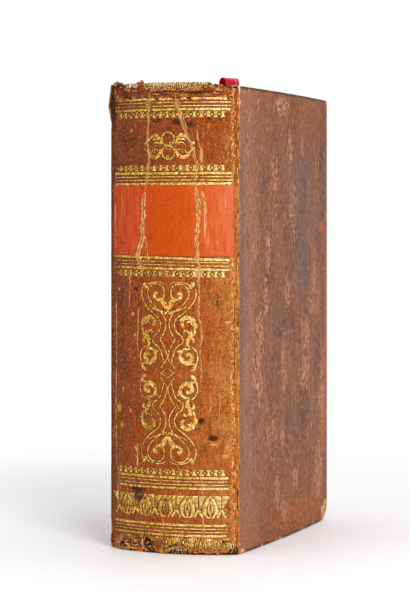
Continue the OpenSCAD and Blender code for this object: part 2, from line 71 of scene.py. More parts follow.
def put(tree, kind, values=None, out=0, **settings):
    """Adds one node with its settings, values and links, and gives back one of its outputs."""
    made = tree.nodes.new(kind)
    for name, value in settings.items():
        if name == "stops":
            while len(made.color_ramp.elements) < len(value):
                made.color_ramp.elements.new(0.5)
            for stop, (position, code) in zip(made.color_ramp.elements, value):
                stop.position, stop.color = position, linear(code)
        else:
            setattr(made, name, value)
    for key, value in (values or {}).items():
        if isinstance(value, bpy.types.NodeSocket):
            tree.links.new(value, made.inputs[key])
        else:
            made.inputs[key].default_value = value
    return made if out is None else made.outputs[out]


def finish_named(name):
    """A new material, its node tree with only an output in it, and the place of each point on the piece."""
    material = bpy.data.materials.new(name)
    material.use_nodes = True
    tree = material.node_tree
    tree.nodes.clear()
    put(tree, "ShaderNodeOutputMaterial", out=None)
    return material, tree, put(tree, "ShaderNodeTexCoord", out="Object")


def mesh_object(name, points, faces, material, smooth=True):
    """A mesh whose place is in its points, so that its object stays at the origin."""
    mesh = bpy.data.meshes.new(name)
    mesh.from_pydata([tuple(p) for p in points], [], faces)
    mesh.validate()
    made = bpy.data.objects.new(name, mesh)
    bpy.context.scene.collection.objects.link(made)
    mesh.materials.append(material)
    if smooth:
        mesh.shade_smooth()
    return made


# White laminate gives a flat, bright ground with the faintest sheen.
table_white, tree, place = finish_named("white_laminate_table")
reach = put(tree, "ShaderNodeVectorMath", {0: place}, out=1, operation="LENGTH")
fade = put(tree, "ShaderNodeMapRange", {0: reach, 1: 0.13, 2: 0.42, 3: 0.0, 4: 1.0},
           interpolation_type="SMOOTHSTEP")
speck = put(tree, "ShaderNodeTexNoise", {0: place, "Scale": 400.0})
sheen = put(tree, "ShaderNodeMapRange", {0: speck, 3: 0.55, 4: 0.65})
top = put(tree, "ShaderNodeBsdfPrincipled",
          {"Base Color": linear("#FCFCFF"), "Roughness": sheen, "Specular IOR Level": 0.1})
glow = put(tree, "ShaderNodeEmission", {0: (1.0, 1.0, 1.0, 1.0), 1: 1.0})
eye = put(tree, "ShaderNodeLightPath", out="Is Camera Ray")
seen = put(tree, "ShaderNodeMath", {0: fade, 1: eye}, operation="MULTIPLY")
whole = put(tree, "ShaderNodeMixShader", {0: seen, 1: top, 2: glow})
tree.links.new(whole, tree.nodes["Material Output"].inputs[0])
ring = [(1.6 * math.cos(a), 1.6 * math.sin(a), 0.0) for a in np.linspace(0, 2 * math.pi, 65)[:-1]]
table_top = mesh_object("table_top", ring, [list(range(64))], table_white, smooth=False)

world = bpy.data.worlds.new("white_surround")
bpy.context.scene.world = world
world.use_nodes = True
tree = world.node_tree
tree.nodes.clear()
rays = put(tree, "ShaderNodeLightPath", out=None)
clear = put(tree, "ShaderNodeMath",
            {0: rays.outputs["Is Camera Ray"], 1: rays.outputs["Is Transmission Ray"]}, operation="MAXIMUM")
clear = put(tree, "ShaderNodeMath", {0: clear, 1: rays.outputs["Is Glossy Ray"]}, operation="MAXIMUM")
power = put(tree, "ShaderNodeMapRange", {0: clear, 3: 0.42, 4: 1.0})
surround = put(tree, "ShaderNodeBackground", {0: (1.0, 1.0, 1.0, 1.0), 1: power})
put(tree, "ShaderNodeOutputWorld", {0: surround}, out=None)

for name, spot, aim, side, watts in (
        ("key_softbox", (0.95, -1.05, 0.95), (0.0, -0.03, 0.10), 0.6, 13.0),
        ("fill_softbox", (-0.75, -1.2, 0.7), (0.0, -0.03, 0.10), 0.8, 3.0),
        ("top_softbox", (0.05, 0.15, 1.3), (0.0, 0.0, 0.10), 0.9, 6.5)):
    lamp = bpy.data.lights.new(name, "AREA")
    lamp.shape, lamp.size, lamp.energy = "SQUARE", side, watts
    box = bpy.data.objects.new(name, lamp)
    box.location = spot
    box.rotation_euler = (Vector(aim) - Vector(spot)).to_track_quat("-Z", "Y").to_euler()
    bpy.context.scene.collection.objects.link(box)


# Leaves
# Rag paper folded, sewn and glued into a block with a rounded back, then cut at three edges with a plough.
# The cut edges show the leaves as fine lines, the gatherings as broader ones, and dust.

def over(tree, base, mask, low, high, most, colour):
    """Lays a colour, hex or a node's, over a base: none where a mask is low and most where it is high."""
    amount = put(tree, "ShaderNodeMapRange", {0: mask, 1: low, 2: high, 3: 0.0, 4: most})
    colour = linear(colour) if isinstance(colour, str) else colour
    return put(tree, "ShaderNodeMix", {0: amount, 6: base, 7: colour}, out=2, data_type="RGBA")


def surface(tree, colour, *reliefs, rough, gloss=None, **more):
    """Ends a finish: its surface over reliefs, each a height, its depth in metres and its strength."""
    sockets = {"Base Color": colour, "Roughness": rough, **more}
    if gloss is not None:
        sockets["Specular IOR Level"] = gloss
    for height, depth, strength in reliefs:
        bump = {"Height": height, "Distance": depth, "Strength": strength}
        if "Normal" in sockets:
            bump["Normal"] = sockets["Normal"]
        sockets["Normal"] = put(tree, "ShaderNodeBump", bump)
    tree.links.new(put(tree, "ShaderNodeBsdfPrincipled", sockets), tree.nodes["Material Output"].inputs[0])


def dress(name, material):
    """Gives a CAD node's own mesh a finish."""
    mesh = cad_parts[name].data
    mesh.materials.clear()
    mesh.materials.append(material)


rag_paper, tree, place = finish_named("aged_rag_paper_edges")
# Leaves are 0.14 mm thick and drawn at about 0.5 mm, and gatherings at about 3 mm. They lie side by side
# along X and run on along Y and Z.
leaf = put(tree, "ShaderNodeMapping", {0: place, 3: (2000.0, 26.0, 26.0)})
leaves = put(tree, "ShaderNodeTexNoise", {0: leaf, "Scale": 1.0, "Detail": 3.0, "Roughness": 0.7})
gathering = put(tree, "ShaderNodeMapping", {0: place, 3: (330.0, 9.0, 9.0)})
gatherings = put(tree, "ShaderNodeTexNoise", {0: gathering, "Scale": 1.0, "Detail": 2.0})
dust = put(tree, "ShaderNodeTexNoise", {0: place, "Scale": 45.0, "Detail": 5.0})
paper = put(tree, "ShaderNodeValToRGB", {0: leaves},
            stops=[(0.3, "#8C6F4C"), (0.45, "#BFA37A"), (0.6, "#D8C29C"), (0.75, "#E6D6B6")])
paper = over(tree, paper, gatherings, 0.48, 0.3, 0.65, "#7D6143")
paper = over(tree, paper, dust, 0.5, 0.75, 0.55, "#8A6A46")
surface(tree, paper, (leaves, 0.0004, 0.7), (gatherings, 0.0006, 0.5), rough=0.85, gloss=0.25)
dress("text_block", rag_paper)

# Sewing cords and back lining
# Hemp cords let into saw cuts across the folds, and a strip of coarse linen glued over them.
# Both lie under the leather, out of sight.
hemp, tree, place = finish_named("laid_hemp_cord")
# Its strands cross the cord slantwise every 2 mm.
lay = put(tree, "ShaderNodeTexWave", {0: place, "Scale": 175.0, "Distortion": 1.5, "Detail": 2.0}, out=1,
          bands_direction="DIAGONAL")
strand = put(tree, "ShaderNodeValToRGB", {0: lay},
             stops=[(0.1, "#7A6238"), (0.6, "#B79C68"), (0.95, "#CDB584")])
surface(tree, strand, (lay, 0.0002, 0.8), rough=0.9, gloss=0.2)
linen, tree, place = finish_named("coarse_glued_linen")
# Threads 1.6 mm apart both ways, twice as coarse as real ones, so that they show
warp = put(tree, "ShaderNodeTexWave", {0: place, "Scale": 200.0, "Distortion": 0.8}, out=1,
           bands_direction="X")
weft = put(tree, "ShaderNodeTexWave", {0: place, "Scale": 200.0, "Distortion": 0.8}, out=1,
           bands_direction="Z")
weave = put(tree, "ShaderNodeMath", {0: warp, 1: weft}, operation="MULTIPLY")
thread = put(tree, "ShaderNodeValToRGB", {0: weave},
             stops=[(0.05, "#6E4F2E"), (0.5, "#A98C60"), (0.95, "#CBB48A")])
surface(tree, thread, (weave, 0.0002, 0.8), rough=0.88, gloss=0.2)
for k in range(1, 5):
    dress(f"sewing_cord_{k}", hemp)
dress("spine_lining", linen)

# Headband and tailband
# A core laid along the edge of the folds and sewn over with undyed thread, a bead of which shows in front.
# Dust has gathered between the stitches, and the headband's thread is worn away past the ribbon.

# One millimetre in Blender's metres
MM = 0.001
# Radii of the leather's face and of the backs of the folds, and the y of the axis that both are round
SPINE_R, LEAVES_R, AXIS_Y = 61.389, 59.989, -8.111


def round_spine(radius, angle, z):
    """Points at a radius and an angle round the spine's axis, and at a height, in millimetres."""
    radius, angle, z = np.broadcast_arrays(radius, angle, z)
    return np.stack([radius * np.sin(angle), AXIS_Y - radius * np.cos(angle), z], -1)


def ramp(x, low, high):
    """A smooth step from 0 to 1 between two values."""
    t = np.clip((np.asarray(x, float) - low) / (high - low), 0, 1)
    return t * t * (3 - 2 * t)


# Linen thread, rubbed pale over the brown dirt in its twist
sewing_thread, tree, place = finish_named("undyed_linen_thread")
twist = put(tree, "ShaderNodeTexNoise", {0: place, "Scale": 2200.0, "Detail": 2.0})
worn = put(tree, "ShaderNodeTexNoise", {0: place, "Scale": 620.0, "Detail": 4.0, "Roughness": 0.65})
tint = put(tree, "ShaderNodeValToRGB", {0: worn},
           stops=[(0.3, "#7A5028"), (0.41, "#C88E4A"), (0.52, "#F6CC84"), (0.66, "#FFEEC4")])
tint = over(tree, tint, twist, 0.55, 0.35, 0.6, "#4E3012")
surface(tree, tint, (twist, 0.0003, 0.8), rough=0.85, gloss=0.15)
# The core under it is dull brown with dust.
band_core, tree, place = finish_named("dusty_rolled_core")
dust = put(tree, "ShaderNodeTexNoise", {0: place, "Scale": 900.0, "Detail": 3.0})
core_brown = put(tree, "ShaderNodeValToRGB", {0: dust},
                 stops=[(0.35, "#2C1809"), (0.55, "#5C3A1C"), (0.75, "#8A6234")])
surface(tree, core_brown, (dust, 0.0002, 0.6), rough=0.9, gloss=0.1)


def set_along(name, motif, points, turns, sway, seed, material):
    """Geometry Nodes: a motif at each point, turned about Z to face out from the spine, with some sway."""
    track = bpy.data.meshes.new(name + "_track")
    track.from_pydata([tuple(p) for p in points], [], [])
    track.attributes.new("turn", "FLOAT", "POINT").data.foreach_set("value", np.asarray(turns, np.float32))
    carrier = bpy.data.objects.new(name + "_track", track)
    bpy.context.scene.collection.objects.link(carrier)
    tree = bpy.data.node_groups.new(name + "_layout", "GeometryNodeTree")
    for label, kind in (("Track", "NodeSocketGeometry"), ("Motif", "NodeSocketObject"),
                        ("Sway", "NodeSocketFloat"), ("Seed", "NodeSocketInt"),
                        ("Finish", "NodeSocketMaterial")):
        tree.interface.new_socket(label, in_out="INPUT", socket_type=kind)
    tree.interface.new_socket("Pieces", in_out="OUTPUT", socket_type="NodeSocketGeometry")
    given = put(tree, "NodeGroupInput", out=None).outputs
    less = put(tree, "ShaderNodeMath", {0: given["Sway"], 1: -1.0}, operation="MULTIPLY")
    lean = put(tree, "FunctionNodeRandomValue", {2: less, 3: given["Sway"], "Seed": given["Seed"]}, out=1)
    turn = put(tree, "GeometryNodeInputNamedAttribute", {0: "turn"}, data_type="FLOAT")
    facing = put(tree, "ShaderNodeCombineXYZ", {1: lean, 2: turn})
    shape = put(tree, "GeometryNodeObjectInfo", {0: given["Motif"]}, out="Geometry")
    laid = put(tree, "GeometryNodeInstanceOnPoints",
               {"Points": given["Track"], "Instance": shape, "Rotation": facing})
    real = put(tree, "GeometryNodeRealizeInstances", {0: laid})
    done = put(tree, "GeometryNodeSetMaterial", {0: real, "Material": given["Finish"]})
    put(tree, "NodeGroupOutput", {0: done}, out=None)
    layout = carrier.modifiers.new("layout", "NODES")
    layout.node_group = tree
    wanted = {"Motif": motif, "Sway": sway, "Seed": seed, "Finish": material}
    for item in tree.interface.items_tree:
        if item.in_out == "INPUT" and item.name in wanted:
            layout[item.identifier] = wanted[item.name]
    graph = bpy.context.evaluated_depsgraph_get()
    made = bpy.data.objects.new(name, bpy.data.meshes.new_from_object(carrier.evaluated_get(graph)))
    bpy.context.scene.collection.objects.link(made)
    bpy.data.objects.remove(carrier)
    bpy.data.objects.remove(motif)
    made.data.shade_smooth()
    return made


def tube(name, path, radii, sides, material, closed=False):
    """A round strand along a path, in millimetres, with a radius at each point."""
    path, radii = np.asarray(path, float), np.broadcast_to(np.asarray(radii, float), (len(path),))
    along = (np.roll(path, -1, 0) - np.roll(path, 1, 0)) if closed else np.gradient(path, axis=0)
    along /= np.linalg.norm(along, axis=1, keepdims=True)
    side = np.cross(along, [0.03, 0.05, 1.0]) if abs(along[0][2]) < 0.9 else np.cross(along, [0.0, 1.0, 0.1])
    side /= np.linalg.norm(side, axis=1, keepdims=True)
    up = np.cross(side, along)
    angles = np.arange(sides) * 2 * math.pi / sides
    round_it = np.cos(angles)[:, None] * side[:, None] + np.sin(angles)[:, None] * up[:, None]
    points = path[:, None] + radii[:, None, None] * round_it
    n = len(path)
    faces = [[i * sides + k, i * sides + (k + 1) % sides, (i + 1) % n * sides + (k + 1) % sides,
              (i + 1) % n * sides + k] for i in range(n if closed else n - 1) for k in range(sides)]
    if not closed:
        faces += [list(range(sides))[::-1], [(n - 1) * sides + k for k in range(sides)]]
    return mesh_object(name, points.reshape(-1, 3) * MM, faces, material)


for name, centre_z, across, bead_z in (("headband", 215.4, 3.0, 213.95), ("tailband", 1.75, 2.4, 2.9)):
    arc = 57.3
    core_r = LEAVES_R - across / 2
    along = np.linspace(-arc / 2, arc / 2, 90)
    angles = along / SPINE_R
    # The headband's thread is worn away past the ribbon, and its bare core is flattened there.
    sewn_to = 20.6 if name == "headband" else arc / 2
    bare = ramp(along, sewn_to - 0.2, sewn_to + 1.2)
    core = tube(name + "_core", round_spine(core_r, angles, centre_z - 0.9 * bare),
                across / 2 - 0.55 - 0.5 * bare, 12, band_core)
    # A dark fold of glued lining under the core closes the gap behind the bead.
    seat_z, seat_r = bead_z + (0.05 if name == "headband" else -0.05), LEAVES_R - 0.25
    seat = tube(name + "_seat", round_spine(seat_r, angles, seat_z), 0.55, 8, band_core)
    pieces = [core, seat]
    # Loops of thread round the core, thick and thin by turns, and the bead, a row of knots in front
    round_it = np.linspace(0, 2 * math.pi, 17)[:-1]
    for label, first, step, reach, lean, radius, size in (
            ("_stitches", 0.0, 1.9, across / 2 - 0.34, 0.42, 0.36, 1.0),
            ("_thin_stitches", 0.95, 1.9, across / 2 - 0.42, 0.34, 0.30, 1.0),
            ("_bead", 0.5, 1.15, 0.28, 0.22, 0.27, 1.6)):
        loop = np.stack([lean * np.sin(round_it), reach * np.cos(round_it), reach * size * np.sin(round_it)],
                        -1)
        stitch = tube("stitch", loop, radius, 6, sewing_thread, closed=True)
        spread = np.arange(first - arc / 2, sewn_to, step) / SPINE_R
        r, height = (60.25, bead_z) if label == "_bead" else (core_r, centre_z)
        lifted = height + 0.1 * np.sin(spread * 260)
        spots = round_spine(r, spread, lifted) * MM
        pieces.append(set_along(name + label, stitch, spots, spread, 0.22, 3, sewing_thread))
    for piece in pieces:
        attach(piece, "bound_leaves")
    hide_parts(name)

# Ribbon marker
# Crimson silk satin, 7.5 mm wide, glued behind the folds, drawn over the head and tucked between the leaves.
# It rises in one loose loop at the front, and a painted highlight runs in a band across the bend, where the
# satin's long floats catch the light.
satin, tree, place = finish_named("crimson_silk_satin")
floats = put(tree, "ShaderNodeMapping", {0: place, 3: (300.0, 2600.0, 300.0)})
floats = put(tree, "ShaderNodeTexNoise", {0: floats, "Scale": 1.0, "Detail": 2.0})
silk = put(tree, "ShaderNodeValToRGB", {0: floats},
           stops=[(0.3, "#8A0218"), (0.5, "#C2041E"), (0.7, "#DE1434")])
# Painted highlight: a pale band about 1.6 mm wide across the loop, where a crease catches the light.
crease_highlight = put(tree, "ShaderNodeVectorMath", {0: place, 1: (-0.574, -0.819, 0.0)}, out="Value",
             operation="DOT_PRODUCT")
crease_highlight = put(tree, "ShaderNodeMath", {0: crease_highlight, 1: 0.0237}, operation="SUBTRACT")
crease_highlight = put(tree, "ShaderNodeMath", {0: crease_highlight}, operation="ABSOLUTE")
silk = over(tree, silk, crease_highlight, 0.0008, 0.0002, 0.5, "#F27C90")
surface(tree, silk, (floats, 0.0001, 0.4), rough=0.38, gloss=0.22, Anisotropic=0.5)
LEAVES_TOP = 213.5
rest_z, anchor_y = LEAVES_TOP + 0.2, AXIS_Y - LEAVES_R + 0.25
# Points of the ribbon's middle line and the direction of its width there
route = [((0, anchor_y, LEAVES_TOP - 25), (1, 0, 0)), ((0, anchor_y, LEAVES_TOP - 1), (1, 0, 0)),
         ((0, anchor_y + 0.1, LEAVES_TOP), (1, 0, 0)), ((0, anchor_y + 0.5, rest_z), (1, 0, 0)),
         ((0, anchor_y + 4, rest_z), (1, 0, 0)), ((1, -58.5, rest_z), (1, -0.2, 0)),
         ((4, -52.5, rest_z), (1, -0.8, 0)), ((8.5, -48.5, rest_z), (0.5, -1, 0)),
         ((13, -46.2, rest_z + 0.1), (0.1, -1, 0)), ((17, -45.4, rest_z + 0.3), (-0.25, -1, 0)),
         ((19.2, -45.3, LEAVES_TOP + 1.4), (-0.5, -0.85, 0))]
for k in range(17):
    a = math.pi * (1 - k / 16)
    route.append(((21.97 + 2.17 * math.cos(a), -46.98 - 1.52 * math.cos(a), 216.95 + 2.28 * math.sin(a)),
                  (-0.574, -0.819, 0)))
route += [((24.2, -48.55, 215.8), (-0.5, -0.86, 0)), ((24.18, -48.5, LEAVES_TOP + 1), (-0.2, -1, 0)),
          ((24.14, -48.5, LEAVES_TOP - 1), (0, -1, 0)), ((24.14, -48.5, LEAVES_TOP - 120), (0, -1, 0))]
middle, width = np.array([r[0] for r in route], float), np.array([r[1] for r in route], float)
width /= np.linalg.norm(width, axis=1, keepdims=True)
thick = np.cross(width, np.gradient(middle, axis=0))
thick /= np.linalg.norm(thick, axis=1, keepdims=True)
# The ribbon cups a little across its width where it is free.
HALF_W, HALF_T = 3.7, 0.1
columns = np.linspace(-1, 1, 9)[None, :, None]
cup = np.array([0.0] * 10 + [0.15] * 20 + [0.0] * 2)[:, None, None]
face = middle[:, None] + width[:, None] * columns * HALF_W + thick[:, None] * (columns ** 2 * cup)
points = np.concatenate([(face + thick[:, None] * rise).reshape(-1, 3) for rise in (HALF_T, -HALF_T)])
n, m = len(route), columns.size
faces = []
for i in range(n - 1):
    for j in range(m - 1):
        a = i * m + j
        faces.append([a, a + 1, a + m + 1, a + m])
        faces.append([n * m + a, n * m + a + m, n * m + a + m + 1, n * m + a + 1])
    for a, flip in ((i * m, False), (i * m + m - 1, True)):
        side = [a, a + m, n * m + a + m, n * m + a]
        faces.append(side[::-1] if flip else side)
for a, flip in ((0, True), ((n - 1) * m, False)):
    for j in range(m - 1):
        end = [a + j, a + j + 1, n * m + a + j + 1, n * m + a + j]
        faces.append(end if flip else end[::-1])
ribbon = mesh_object("satin_ribbon", points * MM, faces, satin)
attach(ribbon, "bound_leaves")
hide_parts("ribbon_marker")

# Spine leather
# Vegetable-tanned calf stretched tight over the lined back. It has dried; painted shade darkens it to the
# left and painted light makes it orange-brown to the right. It is worn to pale fibre along the joint, and
# torn away at head and tail.
SPINE_END = 33.66
head_tear = [(-33.7, 215.6), (-32, 217.2), (-29.5, 218.2), (-27.5, 217.3), (-25, 216.8), (-21, 216.3),
             (-18, 216.4), (-15.6, 217.1), (-13.2, 217.9), (-12.2, 216.4), (-11.0, 214.2), (-8, 213.5),
             (-4, 213.3), (1, 213.7), (6, 213.2), (10, 213.6), (14, 213.4), (17, 214.0), (20, 214.9),
             (24, 215.2), (28, 214.6), (31, 213.5), (33.7, 212.8)]
tail_tear = [(-33.7, 1.3), (-31, 0.5), (-28, 0.1), (-22, 0.1), (-12.8, 0.1), (-12.2, 3.5), (-11.4, 6.6),
             (-9.9, 7.6), (-8.2, 6.0), (-7.0, 2.6), (-6.0, 0.9), (-3, 0.2), (0.5, 0.7), (2.5, 2.4),
             (4.4, 3.4), (6, 2.6), (7.6, 3.6), (9.4, 3.0), (11, 1.0), (14, 0.2), (17.5, 1.6), (19, 0.2),
             (22, 1.4), (24, 0.2), (26.4, 1.6), (28, 0.8), (29.4, 1.6), (30.6, 4.4), (31.6, 6.4), (32.6, 5.4),
             (33.7, 6.4)]
chance = np.random.default_rng(11)
lattice = chance.random((64, 64))


def mottle(x, y):
    """Smooth noise from 0 to 1, one cell to a unit."""
    x, y = np.asarray(x, float), np.asarray(y, float)
    i, j = np.floor(x).astype(int), np.floor(y).astype(int)
    u, v = x - i, y - j
    u, v = u * u * (3 - 2 * u), v * v * (3 - 2 * v)
    near = lattice[i % 64, j % 64] * (1 - u) + lattice[(i + 1) % 64, j % 64] * u
    far = lattice[i % 64, (j + 1) % 64] * (1 - u) + lattice[(i + 1) % 64, (j + 1) % 64] * u
    return near * (1 - v) + far * v


def relief(s, z):
    """The leather's rise over its nominal face, in millimetres, at an arc length and height."""
    s, z = np.asarray(s, float), np.asarray(z, float)
    sunk = 0.14 * mottle(s / 9 + 3, z / 16) + 0.07 * mottle(s / 1.3, z / 8)
    sunk += 0.05 * mottle(s / 0.9 + 7, z / 1.4 + 5)
    sunk += ramp(np.abs(s), 30.2, 32.6) * 0.4 * mottle(s / 0.8 + 9, z / 2.6)
    sunk += ramp(z, 205.5, 211) * 0.4 * mottle(s / 1.6, z / 1.1)
    sunk += (1 - ramp(z, 1.5, 5.5)) * 0.35 * mottle(s / 1.1 + 4, z / 1.0)
    return -np.minimum(sunk, 0.7)


def on_spine(s, z, lift=0.0):
    """A point on the spine from its arc length, height and lift off the leather, in metres."""
    s, z = np.asarray(s, float), np.asarray(z, float)
    return round_spine(SPINE_R + relief(s, z) + lift, s / SPINE_R, z) * MM


def skin(name, outer, inner, step, material):
    """A closed hide from two grids: a fine outer face, a coarse inner one and the cut edge between them."""
    rows, cols = outer.shape[:2]
    i_keep = sorted({*range(0, rows - 1, step), rows - 1})
    j_keep = sorted({*range(0, cols - 1, step), cols - 1})
    points = [tuple(p) for p in outer.reshape(-1, 3)]
    under = {}
    for i in range(rows):
        for j in range(cols):
            if i in (0, rows - 1) or j in (0, cols - 1) or (i in i_keep and j in j_keep):
                under[i, j] = len(points)
                points.append(tuple(inner[i, j]))
    faces = [[i * cols + j, i * cols + j + 1, (i + 1) * cols + j + 1, (i + 1) * cols + j]
             for i in range(rows - 1) for j in range(cols - 1)]
    edge = [(0, j) for j in range(cols - 1)] + [(i, cols - 1) for i in range(rows - 1)]
    edge += [(rows - 1, j) for j in range(cols - 1, 0, -1)] + [(i, 0) for i in range(rows - 1, 0, -1)]
    for a, b in zip(edge, edge[1:] + edge[:1]):
        faces.append([b[0] * cols + b[1], a[0] * cols + a[1], under[a], under[b]])
    for i0, i1 in zip(i_keep, i_keep[1:]):
        for j0, j1 in zip(j_keep, j_keep[1:]):
            loop = [(i0, j) for j in range(j0, j1) if j == j0 or i0 == 0]
            loop += [(i, j1) for i in range(i0, i1) if i == i0 or j1 == cols - 1]
            loop += [(i1, j) for j in range(j1, j0, -1) if j == j1 or i1 == rows - 1]
            loop += [(i, j0) for i in range(i1, i0, -1) if i == i1 or j0 == 0]
            faces.append([under[p] for p in loop][::-1])
    return mesh_object(name, points, faces, material)


def paint(made, **layers):
    """Float attributes on a mesh's points; points past the given values, on its inner face, get 0."""
    for label, values in layers.items():
        full = np.zeros(len(made.data.vertices), np.float32)
        values = np.asarray(values, np.float32).ravel()
        full[:len(values)] = values
        made.data.attributes.new(label, "FLOAT", "POINT").data.foreach_set("value", full)


def painted(tree, base, layer, grain, spread, low, high, most, colour, mean=0.5):
    """Lays a colour over a base where an attribute is painted, with an edge that a grain makes ragged."""
    amount = put(tree, "ShaderNodeAttribute", out="Fac", attribute_name=layer)
    ragged = put(tree, "ShaderNodeMath", {0: grain, 1: spread, 2: -spread * mean}, operation="MULTIPLY_ADD")
    ragged = put(tree, "ShaderNodeMath", {0: amount, 1: ragged}, operation="ADD")
    return over(tree, base, ragged, low, high, most, colour)


def calf(tree, place):
    """Colour, roughness and height of the spine's calf, the same for the bare leather and under worn gold."""
    x = put(tree, "ShaderNodeSeparateXYZ", {0: place}, out="X")
    # Painted light and shade across the spine, darker to the left and lighter toward the lit side on the
    # right;
    # the top panel is a little darker
    painted_light_and_mottle = put(tree, "ShaderNodeMapRange", {0: x, 1: -0.032, 2: 0.032})
    z = put(tree, "ShaderNodeSeparateXYZ", {0: place}, out="Z")
    upper = put(tree, "ShaderNodeMapRange", {0: z, 1: 0.168, 2: 0.18, 3: 0.0, 4: 0.4})
    painted_light_and_mottle = put(tree, "ShaderNodeMix", {0: upper, 2: painted_light_and_mottle, 3: -0.24}, out=0)
    # Clouds of about 14 mm and blotches of about 3 mm
    for size, share in ((70.0, 0.6), (300.0, 0.7)):
        wander = put(tree, "ShaderNodeTexNoise", {0: place, "Scale": size, "Detail": 3.0, "Roughness": 0.6})
        painted_light_and_mottle = put(tree, "ShaderNodeMath", {0: wander, 1: share, 2: painted_light_and_mottle}, operation="MULTIPLY_ADD")
    tone = put(tree, "ShaderNodeMapRange", {0: painted_light_and_mottle, 1: 0.42, 2: 1.72})
    hide = put(tree, "ShaderNodeValToRGB", {0: tone},
               stops=[(0.0, "#58260E"), (0.22, "#8C3E14"), (0.42, "#A4480A"), (0.62, "#B45208"),
                      (0.82, "#C4671A"), (1.0, "#D6863C")])
    # Fibres run up the spine: about 1 mm wide and 8 mm long
    fibre = put(tree, "ShaderNodeMapping", {0: place, 3: (850.0, 850.0, 130.0)})
    fibre = put(tree, "ShaderNodeTexNoise",
                {0: fibre, "Scale": 1.0, "Detail": 4.0, "Roughness": 0.65, "Distortion": 0.8})
    hide = over(tree, hide, fibre, 0.5, 0.32, 0.65, "#4C200A")
    hide = over(tree, hide, fibre, 0.56, 0.74, 0.55, "#CE7A2C")
    # The dried grain has crazed into cells of about 2 mm.
    craze = put(tree, "ShaderNodeMapping", {0: place, 3: (620.0, 620.0, 400.0)})
    craze = put(tree, "ShaderNodeTexVoronoi", {0: craze, "Scale": 1.0}, feature="DISTANCE_TO_EDGE")
    hide = over(tree, hide, craze, 0.09, 0.02, 0.4, "#42200C")
    # Pores and pinprick losses, 0.4 to 0.8 mm across
    pores = put(tree, "ShaderNodeTexNoise", {0: place, "Scale": 1500.0, "Detail": 2.0, "Roughness": 0.6})
    hide = over(tree, hide, pores, 0.43, 0.33, 0.75, "#3A1A0A")
    hide = over(tree, hide, pores, 0.61, 0.7, 0.75, "#DDA058")
    # Worn through to the fibre, rubbed places, and stains and painted shade, painted on the hide's points
    crackle = put(tree, "ShaderNodeMapping", {0: place, 3: (1250.0, 1250.0, 620.0)})
    crackle = put(tree, "ShaderNodeTexNoise",
                  {0: crackle, "Scale": 1.0, "Detail": 3.0, "Roughness": 0.7, "Distortion": 0.8})
    frayed = put(tree, "ShaderNodeValToRGB", {0: crackle},
                 stops=[(0.33, "#3C1806"), (0.42, "#9A480A"), (0.50, "#CC7620"), (0.58, "#E8A44E"),
                        (0.68, "#FFE6BC")])
    for layer, colour in (("frayed", frayed), ("rubbed", "#E09A54"), ("stained", "#2A140A")):
        hide = painted(tree, hide, layer, crackle, 1.3, 0.3, 0.7, 0.92, colour)
    height = put(tree, "ShaderNodeMath", {0: fibre, 1: pores}, operation="ADD")
    rough = put(tree, "ShaderNodeMapRange", {0: fibre, 1: 0.3, 2: 0.75, 3: 0.55, 4: 0.75})
    return hide, rough, height


spine_calf, tree, place = finish_named("aged_vegetable_tanned_calf")
hide, rough, height = calf(tree, place)
surface(tree, hide, (height, 0.0006, 0.85), rough=rough, gloss=0.18)

rows, cols = 420, 142
s = np.linspace(-SPINE_END, SPINE_END, cols)
head = np.interp(s, *zip(*head_tear)) + 0.9 * (mottle(s / 0.7, s * 0 + 2) - 0.5)
tail = np.maximum(np.interp(s, *zip(*tail_tear)) + 0.9 * (mottle(s / 0.6, s * 0 + 30) - 0.5), 0.02)
v = np.linspace(0, 1, rows)[:, None]
S, Z = np.broadcast_to(s, (rows, cols)), tail + (head - tail) * v
FLESH_R = 60.62
outer, inner = on_spine(S, Z), round_spine(FLESH_R, S / SPINE_R, Z) * MM
# The leather stops just short of each joint.
for grid in (outer, inner):
    grid[..., 1] = np.minimum(grid[..., 1], -0.06067)
spine = skin("spine_calf", outer, inner, 12, spine_calf)

# Stains and painted shadows; places read off the book: arc length, height, half width, half height, strength
stains_and_shadows = [(20.0, 200.2, 1.1, 1.4, 1.0), (-24.0, 142.6, 0.6, 0.6, 0.7), (-16.7, 121.4, 1.6, 1.2, 0.8),
          (23.9, 116, 1.0, 5.0, 0.6), (16.5, 61.4, 2.4, 1.8, 0.8), (21.8, 53.6, 3.0, 1.6, 1.0),
          (14.5, 57.9, 1.6, 1.2, 0.6), (2.2, 18.9, 1.6, 1.6, 0.7), (-15.4, 29.2, 5.4, 2.2, 0.85),
          (-15.2, 25.8, 2.8, 3.2, 0.85), (-6, 199.2, 4.5, 1.6, 0.55), (5, 198.2, 4.0, 1.9, 0.7),
          (11.5, 197.0, 3.0, 2.6, 0.6), (1, 194, 4, 3, 0.45), (-22, 190, 8, 9, 0.42), (-26, 178, 6, 6, 0.4),
          # The marks at heights 210.8 to 212.2 are painted shadow under the torn leather at the head
          (0, 212.2, 12, 0.5, 0.9), (19, 212.0, 8, 0.5, 0.9), (13, 211.6, 7.0, 0.7, 0.8),
          (-24, 212.0, 2.6, 2.0, 0.5), (-3, 210.8, 6, 0.6, 0.7), (24.6, 211.2, 2.0, 0.8, 0.9),
          (-25, 95, 5, 26, 0.33), (-26, 60, 4, 22, 0.3), (0, 105, 2.5, 7, 0.3), (-27, 117, 5, 9, 0.35),
          (27, 121, 3, 4, 0.3), (-3, 60, 2.0, 14, 0.3), (12, 75, 3, 5, 0.25), (22, 66, 2.0, 3, 0.3)]
